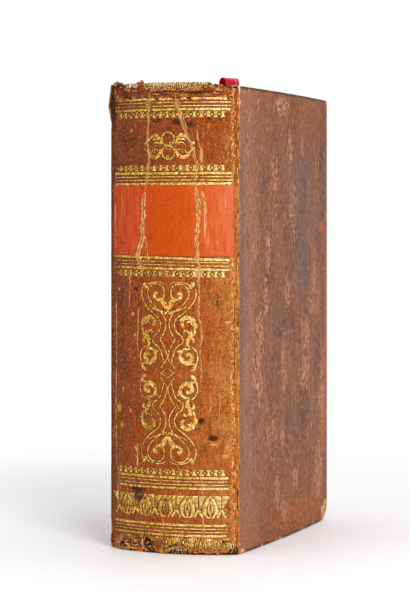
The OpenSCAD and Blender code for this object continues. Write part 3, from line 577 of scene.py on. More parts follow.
rubs = [(5.1, 206.3, 1.7, 3.0, 1.0), (6.6, 202, 1.2, 2.6, 0.8), (16.5, 183, 0.9, 4.6, 1.0),
        (-10, 206, 1.4, 3.5, 0.8), (-9.3, 200, 0.9, 4, 0.7), (-27.8, 121.1, 0.8, 0.9, 1.0),
        (-20.0, 124.6, 0.6, 0.8, 0.8), (-18.4, 109.9, 0.7, 1.2, 1.0), (-17.4, 100.2, 0.5, 1.2, 0.9),
        (28.6, 106.5, 1.6, 0.9, 0.9), (-24.6, 75.0, 0.6, 1.0, 0.9), (-20.0, 64.9, 0.5, 1.3, 0.8),
        (16.8, 101, 0.7, 4.0, 0.7), (28.4, 49.4, 1.0, 1.0, 1.0), (27.6, 45.3, 1.9, 1.0, 1.0),
        (-19.4, 194.7, 0.7, 1.1, 1.0), (22.4, 50.6, 2.6, 0.5, 1.1), (-29, 210, 2.4, 3, 0.5),
        (-28, 205, 1.5, 4, 0.4), (26, 209.5, 4, 1.2, 0.5), (28, 190, 3.5, 8, 0.38), (27, 182, 4, 6, 0.36),
        (-27.5, 66, 2.2, 3.0, 0.6), (-25.5, 58, 1.6, 2.0, 0.6), (25, 20.6, 4.0, 0.6, 0.8),
        (-24, 6, 5, 2.4, 0.5), (0, 22, 26, 0.5, 0.2), (12, 5.0, 3, 1.5, 0.4), (-15.9, 46, 0.6, 6, 0.7),
        (-15.3, 106, 0.5, 7, 0.6), (22, 85, 5, 12, 0.22), (23, 40, 5, 6, 0.3), (-28, 30, 2, 12, 0.45),
        (-26, 3.5, 6, 2.5, 0.6), (24, 5, 5, 3, 0.55), (-1, 4, 5, 2, 0.45)]


def patches(marks, s, z):
    """The strongest of some soft oval marks at each point."""
    most = np.zeros(np.broadcast(s, z).shape)
    for s0, z0, a, b, strength in marks:
        most = np.maximum(most, strength * (1 - ramp(np.hypot((s - s0) / a, (z - z0) / b), 0.35, 1.35)))
    return most


# Wear along both joints, torn edges at head and tail, rubbed calf below the head, painted shade in the back
# joint's gap, and a dark split along the front joint
joint_wear = 0.62 * (1 - ramp(S, -32.6, -31.2)) * ramp(mottle(S / 3, Z / 18), 0.2, 0.7)
joint_wear = np.maximum(ramp(S, 29.0, 31.4), joint_wear)
torn = np.maximum(1 - ramp(head - Z, 0.2, 1.6), 0.85 * (1 - ramp(Z - tail, 0.2, 3.2)))
below_head = (0.32 + 0.3 * ramp(S, -4, 12)) * (1 - ramp(head - Z, 1.0, 7.5))
below_head = below_head * ramp(mottle(S / 4 + 1, Z / 2), 0.35, 0.8)
torn = np.maximum(torn, below_head)
wandering = S - 0.9 * mottle(S * 0 + 3, Z / 14) - 0.5 * ramp(Z, 120, 160)
# Painted shade along the back joint's gap, where it lies in shadow
back_joint_shade = (1 - ramp(wandering, -33.2, -32.3)) * ramp(Z, 6, 20) * (1 - ramp(Z, 206, 214))
back_joint_shade = np.maximum(back_joint_shade, (1 - ramp(S, -31.6, -30.6)) * ramp(Z, 192, 199) * (1 - ramp(Z, 210, 214)))
off_split = np.abs(S - 31.75 - 0.9 * (mottle(S * 0, Z / 9) - 0.5))
joint_split = 0.75 * (1 - ramp(off_split, 0.1, 0.36)) * ramp(mottle(S * 0 + 8, Z / 13), 0.5, 0.8)
darkening_and_shade = np.maximum(np.maximum(patches(stains_and_shadows, S, Z), back_joint_shade * 1.3), joint_split)
paint(spine, frayed=np.clip(np.maximum(joint_wear, torn), 0, 1), rubbed=patches(rubs, S, Z), stained=darkening_and_shade)
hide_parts("spine_leather")

# At the head of the back joint a strip of the leather has come away and stands forward.
rows, cols = 64, 9
Z = np.broadcast_to(np.linspace(198.4, 216.6, rows)[:, None], (rows, cols))
reach = np.interp(Z[:, 0], (198.2, 199.8, 203, 207, 211, 215, 216.8), (0.1, 1.6, 2.6, 3.4, 3.2, 2.4, 1.0))
reach = reach + 0.5 * (mottle(Z[:, 0] / 0.9, Z[:, 0] * 0 + 6) - 0.6)
forward = np.linspace(1, 0, cols)[None, :] * np.maximum(reach, 0.15)[:, None]
curl = -0.45 * (forward / 3.4) ** 2 * np.sin(Z / 2.9) + 0.12 * (mottle(forward / 0.7, Z / 1.1) - 0.5)
grain_side = np.stack([-31.15 + curl, -60.65 - forward, Z], -1) * MM
strip = skin("peeled_calf", grain_side, grain_side + np.array([-0.00034, 0.0, 0.0]), 4, spine_calf)
# Painted shade: the strip is black toward its root, in the shadow of the back joint's gap
shade_at_root = 1 - ramp(forward - 0.62 * reach[:, None] * (1 - ramp(Z, 209, 213)), -0.3, 0.3)
paint(strip, frayed=0.45 + 0.6 * mottle(forward / 0.8, Z / 1.7),
      stained=1.3 * shade_at_root + 0.5 * ramp(mottle(forward / 1.1 + 4, Z / 2.4), 0.5, 0.75))

# Dried, crazed leather crosses each joint in a narrow fold.
for side, body_name in ((1, "front_cover"), (-1, "back_cover")):
    fold = np.array([(31.42, -60.90), (31.68, -60.80), (31.90, -60.66), (32.02, -60.50), (32.06, -60.32),
                     (32.06, -60.12), (32.02, -59.92)])
    k = np.arange(len(fold))[None, :]
    z = np.linspace(3.0, 212.6 if side > 0 else 196.0, 260)[:, None]
    lumps = 0.10 * (mottle(k * 0.9 + 2, z / 0.9) - 0.5) + 0.05 * (mottle(k * 0 + 5, z / 7) - 0.5)
    outer = np.stack([side * (fold[:, 0] + lumps), fold[:, 1] - 0.4 * lumps, z + 0 * k], -1) * MM
    inner = outer + np.array([-0.00016 * side, 0.00010, 0.0])
    if side < 0:
        outer, inner = outer[:, ::-1], inner[:, ::-1]
    joint = skin(body_name + "_joint_calf", outer, inner, 3, spine_calf)
    wear = 0.75 + 0.5 * (mottle(k / 2, z / 4) - 0.5)
    darkening_and_shade = 0.9 * ramp(mottle(k / 1.2 + 11, z / 3.2), 0.62, 0.8)
    # The front joint is rubbed pale beside the cover, and the back one lies in the dark.
    if side > 0:
        pale = np.interp(k, (0, 3, 5, 6), (0.0, 0.1, 0.75, 0.9)) * (0.55 + 0.6 * mottle(z * 0, z / 9))
    else:
        pale, darkening_and_shade = 0 * wear, np.maximum(darkening_and_shade, 1.2 * ramp(z, 8, 20))
    paint(joint, frayed=wear, rubbed=pale, stained=darkening_and_shade)
    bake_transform(joint)
for piece in (spine, strip):
    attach(piece, "bound_leaves")

# Title label
# A thin piece of red goatskin, pared and pasted between two groups of rules. It is blank, scuffed, and split
# where the spine under it has cracked.
label_red, tree, place = finish_named("orange_red_goatskin")
# Painted light and shade across the label: darker to the left, lighter toward the lit side on the right
x = put(tree, "ShaderNodeSeparateXYZ", {0: place}, out="X")
painted_light_and_mottle = put(tree, "ShaderNodeMapRange", {0: x, 1: -0.032, 2: 0.032})
cloud = put(tree, "ShaderNodeTexNoise", {0: place, "Scale": 60.0, "Detail": 5.0, "Roughness": 0.6})
painted_light_and_mottle = put(tree, "ShaderNodeMath", {0: cloud, 1: 0.5, 2: painted_light_and_mottle}, operation="MULTIPLY_ADD")
# The spine's fibres, 1 mm by 9 mm, print through the thin goatskin.
fibre = put(tree, "ShaderNodeMapping", {0: place, 3: (800.0, 800.0, 110.0)})
fibre = put(tree, "ShaderNodeTexNoise",
            {0: fibre, "Scale": 1.0, "Detail": 4.0, "Roughness": 0.7, "Distortion": 0.6})
painted_light_and_mottle = put(tree, "ShaderNodeMath", {0: fibre, 1: 0.9, 2: painted_light_and_mottle}, operation="MULTIPLY_ADD")
tone = put(tree, "ShaderNodeMapRange", {0: painted_light_and_mottle, 1: 0.6, 2: 1.8})
red = put(tree, "ShaderNodeValToRGB", {0: tone},
          stops=[(0.05, "#AE3818"), (0.3, "#C44812"), (0.52, "#C84A06"), (0.76, "#D65A20"),
                 (0.95, "#E67C48")])
grain = put(tree, "ShaderNodeTexNoise", {0: place, "Scale": 1400.0, "Detail": 2.0})
red = over(tree, red, grain, 0.60, 0.72, 0.3, "#EE9256")
red = over(tree, red, grain, 0.43, 0.33, 0.45, "#8A2A12")
# Its pinker ends beyond the two splits, worn edges, pale scuffs and brown stains, painted on its points
for layer, colour in (("pinked", "#D25C38"), ("frayed", "#A85A34"), ("rubbed", "#F0B080"),
                      ("stained", "#6E2410")):
    red = painted(tree, red, layer, fibre, 1.6, 0.35, 0.75, 0.8, colour)
surface(tree, red, (grain, 0.0003, 0.5), rough=0.62, gloss=0.08)
rows, cols = 70, 120
s = np.linspace(-31.9, 31.9, cols)
low = 137.4 - (s + 32) / 64 * 1.03 + 0.25 * (mottle(s / 2.2, s * 0 + 9) - 0.5)
high = 169.35 + 0.2 * (mottle(s / 2.5, s * 0 + 15) - 0.5)
S, Z = np.broadcast_to(s, (rows, cols)), low + (high - low) * np.linspace(0, 1, rows)[:, None]
LABEL_T = 0.22
label = skin("title_label_red", on_spine(S, Z, LABEL_T), on_spine(S, Z, -0.02), 10, label_red)
scuffs = [(18.2, 154, 0.8, 12, 0.8), (19.8, 146, 0.6, 7, 0.45), (27, 160, 5, 8, 0.28), (24, 143, 6, 5, 0.28),
          (-26, 160, 2, 9, 0.3), (16.2, 162, 1.0, 4, 0.6), (-30, 150, 1.2, 16, 0.4)]
smears = [(-24.0, 142.6, 0.8, 0.8, 1.0), (-29, 145.4, 0.8, 0.8, 0.9), (-27.2, 144, 3, 3, 0.35),
          (-8.6, 146, 2.6, 3, 0.55), (-11, 168, 4, 1.2, 0.5), (0, 147.5, 7, 1.2, 0.3),
          (-19, 152, 2.5, 12, 0.28), (-3, 152, 9, 6, 0.24), (10, 140, 4, 2.5, 0.3), (-16, 139, 3, 1.4, 0.5),
          (4, 163, 6, 2, 0.25), (31, 152, 0.8, 16, 0.35)]
paint(label, frayed=np.maximum(1 - ramp(32.0 - np.abs(S), 0.1, 1.3), 0.7 * (1 - ramp(Z - low, 0.1, 0.9))),
      rubbed=patches(scuffs, S, Z), stained=patches(smears, S, Z),
      pinked=0.46 * np.maximum(ramp(S, 14, 16), 1 - ramp(S, -14, -12)))
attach(label, "bound_leaves")
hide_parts("title_label")

# Gold tooling
# Gold leaf pressed into the calf with heated brass rolls and hand tools: rules, bead rolls, a quatrefoil,
# strapwork with leafy scrolls, a roll of palmettes and one of arches. Rubbing has worn leaf off high places.
gold, tree, place = finish_named("tooled_gold_leaf")
hide, *_ = calf(tree, place)
rub = put(tree, "ShaderNodeTexNoise", {0: place, "Scale": 160.0, "Detail": 6.0, "Roughness": 0.8})
lost = put(tree, "ShaderNodeAttribute", out="Fac", attribute_name="lost")
kept = put(tree, "ShaderNodeMath", {0: lost, 1: -0.17, 2: rub}, operation="MULTIPLY_ADD")
leaf = put(tree, "ShaderNodeMapRange", {0: kept, 1: 0.33, 2: 0.39})
# Painted light on the leaf: brighter toward the lit side, with a fine noise that runs from dark olive shade
# to pale highlights; rubbed places are a little duller.
tone = put(tree, "ShaderNodeTexNoise", {0: place, "Scale": 950.0, "Detail": 3.0, "Roughness": 0.75})
x = put(tree, "ShaderNodeSeparateXYZ", {0: place}, out="X")
painted_light_and_wear = put(tree, "ShaderNodeMapRange", {0: x, 1: -0.01, 2: 0.028, 3: -0.06, 4: 0.05})
painted_light_and_wear = put(tree, "ShaderNodeMath", {0: tone, 1: painted_light_and_wear}, operation="ADD")
painted_light_and_wear = put(tree, "ShaderNodeMath", {0: lost, 1: -0.08, 2: painted_light_and_wear}, operation="MULTIPLY_ADD")
gold_with_painted_light = put(tree, "ShaderNodeValToRGB", {0: painted_light_and_wear},
             stops=[(0.32, "#6A440C"), (0.41, "#B27E1C"), (0.49, "#DCA438"), (0.56, "#F0CA6C"),
                    (0.65, "#FFF2C4")])
colour = put(tree, "ShaderNodeMix", {0: leaf, 6: hide, 7: gold_with_painted_light}, out=2, data_type="RGBA")
shine = put(tree, "ShaderNodeMapRange", {0: leaf, 3: 0.0, 4: 0.5})
matt = put(tree, "ShaderNodeMapRange", {0: leaf, 3: 0.65, 4: 0.42})
surface(tree, colour, (tone, 0.0004, 0.7), rough=matt, Metallic=shine)
# Dark brown just round the gold, partly the calf scorched by the hot tool and partly painted shade of the
# groove.
scorch_and_groove_shade, tree, place = finish_named("calf_scorched_with_painted_groove_shade")
hide, _, height = calf(tree, place)
darkening_and_shade = put(tree, "ShaderNodeMix", {0: 0.78, 6: hide, 7: linear("#35180A")}, out=2, data_type="RGBA")
surface(tree, darkening_and_shade, (height, 0.0003, 0.6), rough=0.6, gloss=0.2)
# Where the leaf has been rubbed away: arc length, height, half width, half height, strength
losses = [(-15, 25.6, 3.4, 2.6, 1.6), (-24.5, 207, 5.5, 4.5, 0.9), (5.0, 206, 2.2, 4.0, 1.0),
          (-9.2, 204, 1.5, 5, 0.7), (-0.5, 20.0, 3.2, 3.6, 0.8), (-19, 5.5, 9, 3.5, 0.9),
          (-4, 4.6, 4, 3, 0.6), (-27, 10, 4, 3, 0.7), (29.5, 11, 3, 3.5, 0.9), (-29, 33, 3, 4, 0.8),
          (29.5, 33, 2, 3, 0.7), (-26, 22, 4, 6, 0.5), (-9, 62, 4, 7, 0.4), (-9, 106, 4, 7, 0.4),
          (-8, 187, 5, 6, 0.45), (9, 187, 3, 3, 0.35), (-29, 174, 2.5, 4, 0.6), (15, 174, 2, 4, 0.5),
          (-29, 133, 3, 4, 0.6), (8, 133.5, 6, 2, 0.4), (0, 24.5, 2.5, 1.6, 0.8), (-18, 202, 3, 2, 0.4),
          (12, 202, 2.5, 2, 0.5), (28.5, 177, 2, 2, 0.6), (0.8, 83, 3, 8, 0.4), (16, 83, 2, 30, 0.25)]


def rubbed_leaf(made):
    """Paints lost gold and the calf's stains and painted shade on a mesh, from where it lies on the spine."""
    spots = np.empty(len(made.data.vertices) * 3, np.float32)
    made.data.vertices.foreach_get("co", spots)
    x, y, z = spots.reshape(-1, 3).T * 1000
    s = SPINE_R * np.arctan2(x, AXIS_Y - y)
    paint(made, lost=patches(losses, s, z), stained=patches(stains_and_shadows, s, z))


def eased(points, steps):
    """A smooth line through given points."""
    p = np.asarray(points, float)
    p = np.vstack([2 * p[0] - p[1], p, 2 * p[-1] - p[-2]])
    t = np.linspace(0, 1, steps, endpoint=False)[:, None]
    lines = [0.5 * (2 * b + (c - a) * t + (2 * a - 5 * b + 4 * c - d) * t ** 2
                    + (3 * b - a - 3 * c + d) * t ** 3) for a, b, c, d in zip(p, p[1:], p[2:], p[3:])]
    return np.vstack(lines + [p[-2:-1]])


def stroke(points, width, steps=4, lobes=0):
    """Both edges of a tool's line, from its widths at start, middle and end and its number of lobes."""
    line = eased(points, steps)
    t = np.linspace(0, 1, len(line))
    w = (width[0] * (1 - t) * (1 - 2 * t) + width[1] * 4 * t * (1 - t) + width[2] * t * (2 * t - 1)) / 2
    d = np.gradient(line, axis=0)
    n = np.stack([-d[:, 1], d[:, 0]], -1) / np.linalg.norm(d, axis=1, keepdims=True)
    if lobes:
        w = w * (1 + 0.45 * np.abs(np.sin(math.pi * lobes * t)) - 0.2)
    w = np.maximum(w, 0.08)[:, None]
    return line + n * w, line - n * w


def widened(strip, by):
    """The same strip with the leather beside it taken in."""
    a, b = strip
    beside = (a - b) / np.maximum(np.linalg.norm(a - b, axis=1, keepdims=True), 1e-6) * by
    return a + beside, b - beside


def inlay(name, strips, lift, material, flat=False):
    """Thin closed strips on the leather, or flat for a roll's motif; each lies a hair above the last."""
    points, faces = [], []
    for k, (a, b) in enumerate(strips):
        n, base = len(a), len(points)
        for depth in (lift + 0.0008 * (k % 40), lift - 0.1):
            for side in (a, b):
                if flat:
                    points += [(p[0] * MM, -depth * MM, p[1] * MM) for p in side]
                else:
                    points += [tuple(p) for p in on_spine(side[:, 0], side[:, 1], depth)]
        for i in range(n - 1):
            p = [base + q * n + i for q in range(4)]
            faces += [[p[0], p[1], p[1] + 1, p[0] + 1], [p[2], p[2] + 1, p[3] + 1, p[3]],
                      [p[0], p[0] + 1, p[2] + 1, p[2]], [p[1], p[3], p[3] + 1, p[1] + 1]]
        faces += [[base, base + 2 * n, base + 3 * n, base + n],
                  [base + n - 1, base + 2 * n - 1, base + 4 * n - 1, base + 3 * n - 1]]
    return mesh_object(name, points, faces, material, smooth=False)


def tooled(name, strips, node, lift=0.05):
    """Gold strips over their dark print of scorched calf and painted groove shade, both on the spine."""
    gilt = inlay(name, strips, lift, gold)
    print_and_groove_shade = inlay(name + "_print", [widened(p, 0.22) for p in strips], lift - 0.025, scorch_and_groove_shade)
    for piece in (gilt, print_and_groove_shade):
        rubbed_leaf(piece)
        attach(piece, "bound_leaves")
    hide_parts(node)


# Rules: broad, fine, fine, broad, each drawn with a roll that wavered a little
rules = []
for base, left, right in ((8.8, -30.2, 28.6), (30.4, -30.4, 29.2), (131.0, -31.4, 29.6), (170.0, -31.0, 30.8),
                          (204.1, -30.4, 30.6)):
    for share, high in ((0, 1.1), (0.34, 0.5), (0.66, 0.5), (1, 1.1)):
        end = 0.8 * chance.random(2)
        s = np.linspace(left + end[0], right - end[1], 90)
        z = base + 4.8 * share + 0.16 * (mottle(s / 12, s * 0 + base + share * 5) - 0.5)
        # The rules under the label rise toward the back joint.
        if base == 131.0:
            z += 0.45 * (2 - (s + 32) / 16) * (1 if share > 0.9 else 0.6)
        w = high / 2 * (0.75 + 0.4 * mottle(s / 1.7, s * 0 + base + share * 9))
        rules.append((np.stack([s, z + w], -1), np.stack([s, z - w], -1)))
tooled("gilt_rule_lines", rules, "gilt_rules")


def arc_stroke(x, z, r, start, stop, width, steps=10):
    """Both edges of a round tool's line about a centre, between two angles in degrees."""
    a = np.radians(np.linspace(start, stop, steps))
    return (np.stack([x + (r + width / 2) * np.cos(a), z + (r + width / 2) * np.sin(a)], -1),
            np.stack([x + (r - width / 2) * np.cos(a), z + (r - width / 2) * np.sin(a)], -1))


def bar(x0, z0, x1, z1, width, end_width=None):
    """A straight tool mark."""
    return stroke([(x0, z0), ((x0 + x1) / 2, (z0 + z1) / 2), (x1, z1)],
                  (width, (width + (end_width or width)) / 2, end_width or width), 2)


def rolled(name, motif, node, spots, sway, seed):
    """A roll's motif at arc lengths and heights across the spine, gold over its dark print and painted shade.
    """
    s, z = np.array(spots, float).T
    for label, strips, lift, material in (
            (name, motif, 0.0, gold), (name + "_print", [widened(p, 0.18) for p in motif], -0.025, scorch_and_groove_shade)):
        die = inlay(label + "_die", strips, lift, material, flat=True)
        laid = set_along(label, die, on_spine(s, z, 0.06), s / SPINE_R, sway, seed, material)
        rubbed_leaf(laid)
        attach(laid, "bound_leaves")
        if node and material == gold:
            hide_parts(node)


# Bead roll: a dot in a bare ring, and a hollow-sided cross that fills the band between rings, every 3.3 mm
waist = np.linspace(-1.3, 1.3, 11)
hollow = np.minimum(1.15, 1.68 - np.sqrt(np.maximum(1.08 ** 2 - waist ** 2, 0)))
bead = [arc_stroke(0, 0, 0.3, 0, 360, 0.6, 13),
        (np.stack([1.65 - hollow, waist], -1), np.stack([1.65 + hollow, waist], -1))]
beads = [(-28.05 + 3.3 * i, z + (0.22 * (1 - i / 8.5) if z == 128.6 else 0))
         for z in (37.6, 128.6, 177.2, 201.7) for i in range(17)]
rolled("gilt_bead_roll", bead, "gilt_bead_rolls", beads, 0.02, 5)

# Palmette roll: a flame in a pointed drop, and a fan over splayed stems between two drops, every 10.7 mm
drops, fans = [], []
fan_z, fan_w = np.array([5, 4.2, 3.3, 2.2, 0.9, -0.3, -0.9]), np.array([4.5, 3.9, 3.1, 2.3, 1.6, 1.1, 0.4])
for u in (1, -1):
    drops += [stroke([(0.1 * u, 5), (1.0 * u, 3.3), (2.2 * u, 0.9), (2.75 * u, -1.6), (2.3 * u, -3.5),
                      (1.3 * u, -4.6)], (0.5, 1.9, 0.7)),
              stroke([(0.1 * u, 2.6), (0.55 * u, 0.9), (0.9 * u, -1), (0.75 * u, -2.4), (0.3 * u, -3.3)],
                     (0.4, 0.8, 0.3)),
              stroke([(2.1 * u, -4.3), (1.2 * u, -4.9), (0.2 * u, -4.7)], (0.4, 0.7, 0.4))]
    # Each half of the fan is one solid leaf, with a slit between the two.
    sides = [np.stack([u * w, fan_z], -1) for w in (fan_w, 0 * fan_w + 0.2)]
    fans += [tuple(sides[::u]),
             stroke([(0.2 * u, -1.2), (1 * u, -3.1), (2.1 * u, -4.9)], (0.9, 1.3, 0.9)),
             stroke([(2.4 * u, -2.4), (1.9 * u, -1.5), (2.3 * u, -0.6)], (0.3, 0.5, 0.3))]
drops.append(bar(0, -1.8, 0, -5, 0.5, 0.7))
rolled("gilt_palmette_drops", drops, "gilt_palmette_roll", [(-22.1 + 10.7 * i, 22.0) for i in range(5)],
       0.015, 6)
rolled("gilt_palmette_fans", fans, None, [(-16.8 + 10.65 * i, 22.0) for i in range(-1, 5)], 0.015, 8)

# Arcaded roll: an open flower between two sprays and a bud under the arch between two flowers, every 8.2 mm
flowers = [bar(0, 2.3, 0, -2.2, 1.9, 0.5)]
for u in (1, -1):
    flowers += [stroke([(0.75 * u, 2.4), (1.2 * u, 0.8), (0.7 * u, -1.4)], (0.9, 0.8, 0.3)),
                stroke([(1.9 * u, 2.2), (2.2 * u, 0.4), (1.5 * u, -1.2), (2 * u, -2.4)], (0.5, 0.5, 0.6)),
                stroke([(2.8 * u, -1.6), (2.7 * u, 0), (3 * u, 1.2), (3.7 * u, 2.1)], (0.4, 0.5, 0.5))]
# One flower and one bud went with the torn leather.
rolled("gilt_arcade_flowers", flowers, "gilt_arcade_roll",
       [(-20.7 + 8.2 * i, 5.35) for i in range(7) if i != 1], 0.02, 7)
rolled("gilt_arcade_buds",
       [bar(0, 1.0, 0, -1.0, 0.6, 1.4), bar(-0.7, -1.3, 0.7, -2.4, 0.4), bar(0.7, -1.3, -0.7, -2.4, 0.4)],
       None, [(-24.8 + 8.2 * i, 5.35) for i in range(7) if i != 2], 0.03, 9)

# Strapwork and leafy scrolls: the lines of one quarter, each with its tool's widths and its number of lobes
scroll = [([(1.6, 36.4), (2.2, 39.7), (5.2, 41.4), (8.4, 40.6), (10.3, 37.7), (9.6, 34.4), (7.5, 31.8),
            (5, 29.8), (2.7, 27.6), (1.1, 24.8), (0.8, 21.9), (1.6, 19), (3.8, 15.6)], (0.4, 0.45, 0.4), 0),
          ([(11.4, 42), (12.8, 40.2), (13.7, 36.6), (12.8, 33.6), (10.5, 30.3), (7.3, 27.6), (4.5, 25.4),
            (3.5, 23), (3.7, 20.8), (4.8, 18.8), (7, 17.1)], (0.4, 0.45, 0.4), 0),
          ([(3.8, 15.6), (2.2, 13.1), (0.4, 9.2)], (0.4, 0.45, 0.4), 0),
          ([(7, 17.1), (7.5, 14.2), (4.5, 12), (2.9, 8.7), (2, 4.3), (3.4, 2.4)], (0.4, 0.45, 0.4), 0),
          ([(0.4, 9.2), (0.2, 7.6), (-1.4, 4.8), (-3.4, 2.2)], (0.4, 0.45, 0.3), 0),
          ([(0.9, 40.9), (3, 42.1), (6.2, 42.2), (9.4, 41.4), (11.4, 40.2)], (0.3, 0.4, 0.4), 0),
          ([(10.2, 39.4), (11.6, 40.4), (12.8, 42.2)], (0.5, 1.5, 0.3), 2),
          ([(0.3, 29.3), (1.1, 31.1), (2.2, 32.7), (3.1, 34.2)], (0.6, 2.1, 1.2), 3),
          ([(5.2, 36.2), (5.9, 37.1), (6.8, 35.9), (5.6, 34.3), (3.7, 34.1), (2.1, 35.3), (1.5, 37.4)],
           (1.0, 1.2, 0.5), 4),
          ([(0.2, 28.9), (0.7, 27.8), (1.8, 27.7), (1.8, 28.7)], (0.4, 0.6, 0.5), 0),
          ([(1.9, 28.3), (5, 29.1), (9.2, 30.8)], (0.5, 0.6, 0.3), 0),
          ([(7.9, 21.6), (6.9, 23.1), (7.4, 24.9), (9.6, 25.8), (12, 24.9), (13.4, 22.4), (13.1, 19.4),
            (12.3, 17.2)], (1.0, 1.7, 0.5), 6),
          ([(9.3, 23.4), (10.7, 24), (12, 22.2)], (0.3, 0.8, 0.3), 0),
          ([(10.4, 18.4), (9.4, 19.5), (8.3, 19.8), (8, 18.8)], (0.7, 0.7, 0.6), 0),
          ([(10.8, 12), (9.6, 13.2), (9.7, 15.1), (10.7, 16.8), (11.3, 18.2), (10.9, 19.9)], (0.4, 1.7, 0.6),
           4),
          ([(11.4, 16.7), (12.6, 15.7), (12.4, 14)], (0.6, 1.2, 0.3), 2),
          ([(11.7, 12.2), (13.8, 10.1), (14.4, 7.2), (13.9, 4.6), (12.9, 2.6)], (0.5, 0.6, 1.0), 0),
          ([(10.9, 11.2), (8.2, 11.2), (6.2, 9.2), (6.6, 6.5), (9, 5), (11.4, 6.1), (11.6, 8.2), (10, 9),
            (9.4, 7.8)], (0.5, 1.8, 0.8), 6),
          ([(4.8, 10.4), (5.6, 9.9), (6.4, 9.3)], (0.5, 0.9, 0.4), 0),
          ([(8.4, 3.9), (10.6, 4.2), (12.9, 4.2)], (0.4, 0.7, 0.6), 2),
          ([(13.6, 2.9), (12.4, 1.9), (11.2, 0.9)], (0.7, 1.5, 0.4), 2),
          ([(0, 2.2), (1.7, 1.1), (3.4, 0)], (0.4, 0.4, 0.4), 0)]
strips = []
for u in (1, -1):
    for w in (1, -1):
        for line, width, lobes in scroll:
            strips.append(stroke([(0.4 + x * u, 83.1 + z * w * 84 / 85) for x, z in line],
                                 [q + 0.1 for q in width], 5, lobes))
tooled("gilt_scroll_ornament", strips, "gilt_scrollwork")

# Quatrefoil: two rings one over the other, leafy lobes and pearls at each side
strips = [arc_stroke(0.6, 190.55, 3.1, 0, 360, 0.6, 33), arc_stroke(0.8, 184.3, 3.1, 0, 360, 0.6, 33),
          arc_stroke(0.4, 182.3, 0.6, 0, 360, 0.35, 12)]
for u in (1, -1):
    for line, width, lobes in (([(3.4, 0.6), (4.2, 2.6), (5.5, 4.3), (7.2, 4.8), (9, 3.6), (11.2, 1.4)],
                                (0.5, 1.6, 0.4), 5),
                               ([(3.2, -1.4), (4.2, -3.2), (5.9, -5.1), (8, -5.2), (9.8, -3.9), (11.2, -1.8)],
                                (0.5, 1.6, 0.4), 5),
                               ([(3.9, 0.6), (5.5, 1.5), (7.2, 1.2), (9, -0.6)], (0.4, 0.6, 0.3), 0),
                               ([(5.4, 2.5), (6.9, 3.1), (8.2, 2.3)], (0.3, 0.8, 0.3), 0),
                               ([(4.2, -2.2), (5.7, -1.7), (7.1, -1.9), (6.8, -3.2)], (0.4, 0.6, 0.4), 0),
                               ([(8, -1.6), (8.6, -2.8), (9.6, -3.4)], (0.3, 0.8, 0.4), 0)):
        strips.append(stroke([(0.8 + x * u, 187.45 + z) for x, z in line], width, 5, lobes))
    for x, z, r in ((12, 1.1, 0.8), (12, -1.3, 0.8), (0.85, 1.4, 0.4), (0.85, -1.5, 0.4)):
        strips.append(arc_stroke(0.8 + x * u, 187.45 + z, r / 2, 0, 360, r, 12))
tooled("gilt_quatrefoil_ornament", strips, "gilt_quatrefoil")

# Splits in the spine
# The leather has cracked where the back flexes. The lips of each split stand up as pale fibre either side of
# a gap painted dark as shade, across the gold and the label alike.
torn_fibre, tree, place = finish_named("torn_calf_fibre")
nap = put(tree, "ShaderNodeMapping", {0: place, 3: (1500.0, 1500.0, 500.0)})
nap = put(tree, "ShaderNodeTexNoise", {0: nap, "Scale": 1.0, "Detail": 3.0, "Roughness": 0.7})
lip = put(tree, "ShaderNodeValToRGB", {0: nap},
          stops=[(0.3, "#5A2A0E"), (0.4, "#BC6C28"), (0.5, "#E2A258"), (0.66, "#FADCA8")])
# Painted shade: the deeper in a split's gap, the darker
gap = put(tree, "ShaderNodeAttribute", out="Fac", attribute_name="gap")
lip = put(tree, "ShaderNodeMix", {0: gap, 6: lip, 7: linear("#2A1208")}, out=2, data_type="RGBA")
surface(tree, lip, (nap, 0.0005, 0.8), rough=0.85, gloss=0.1)


# Nothing torn reaches past this arc length either way, where an open cover comes to lie.
CLEAR_S = 33.2


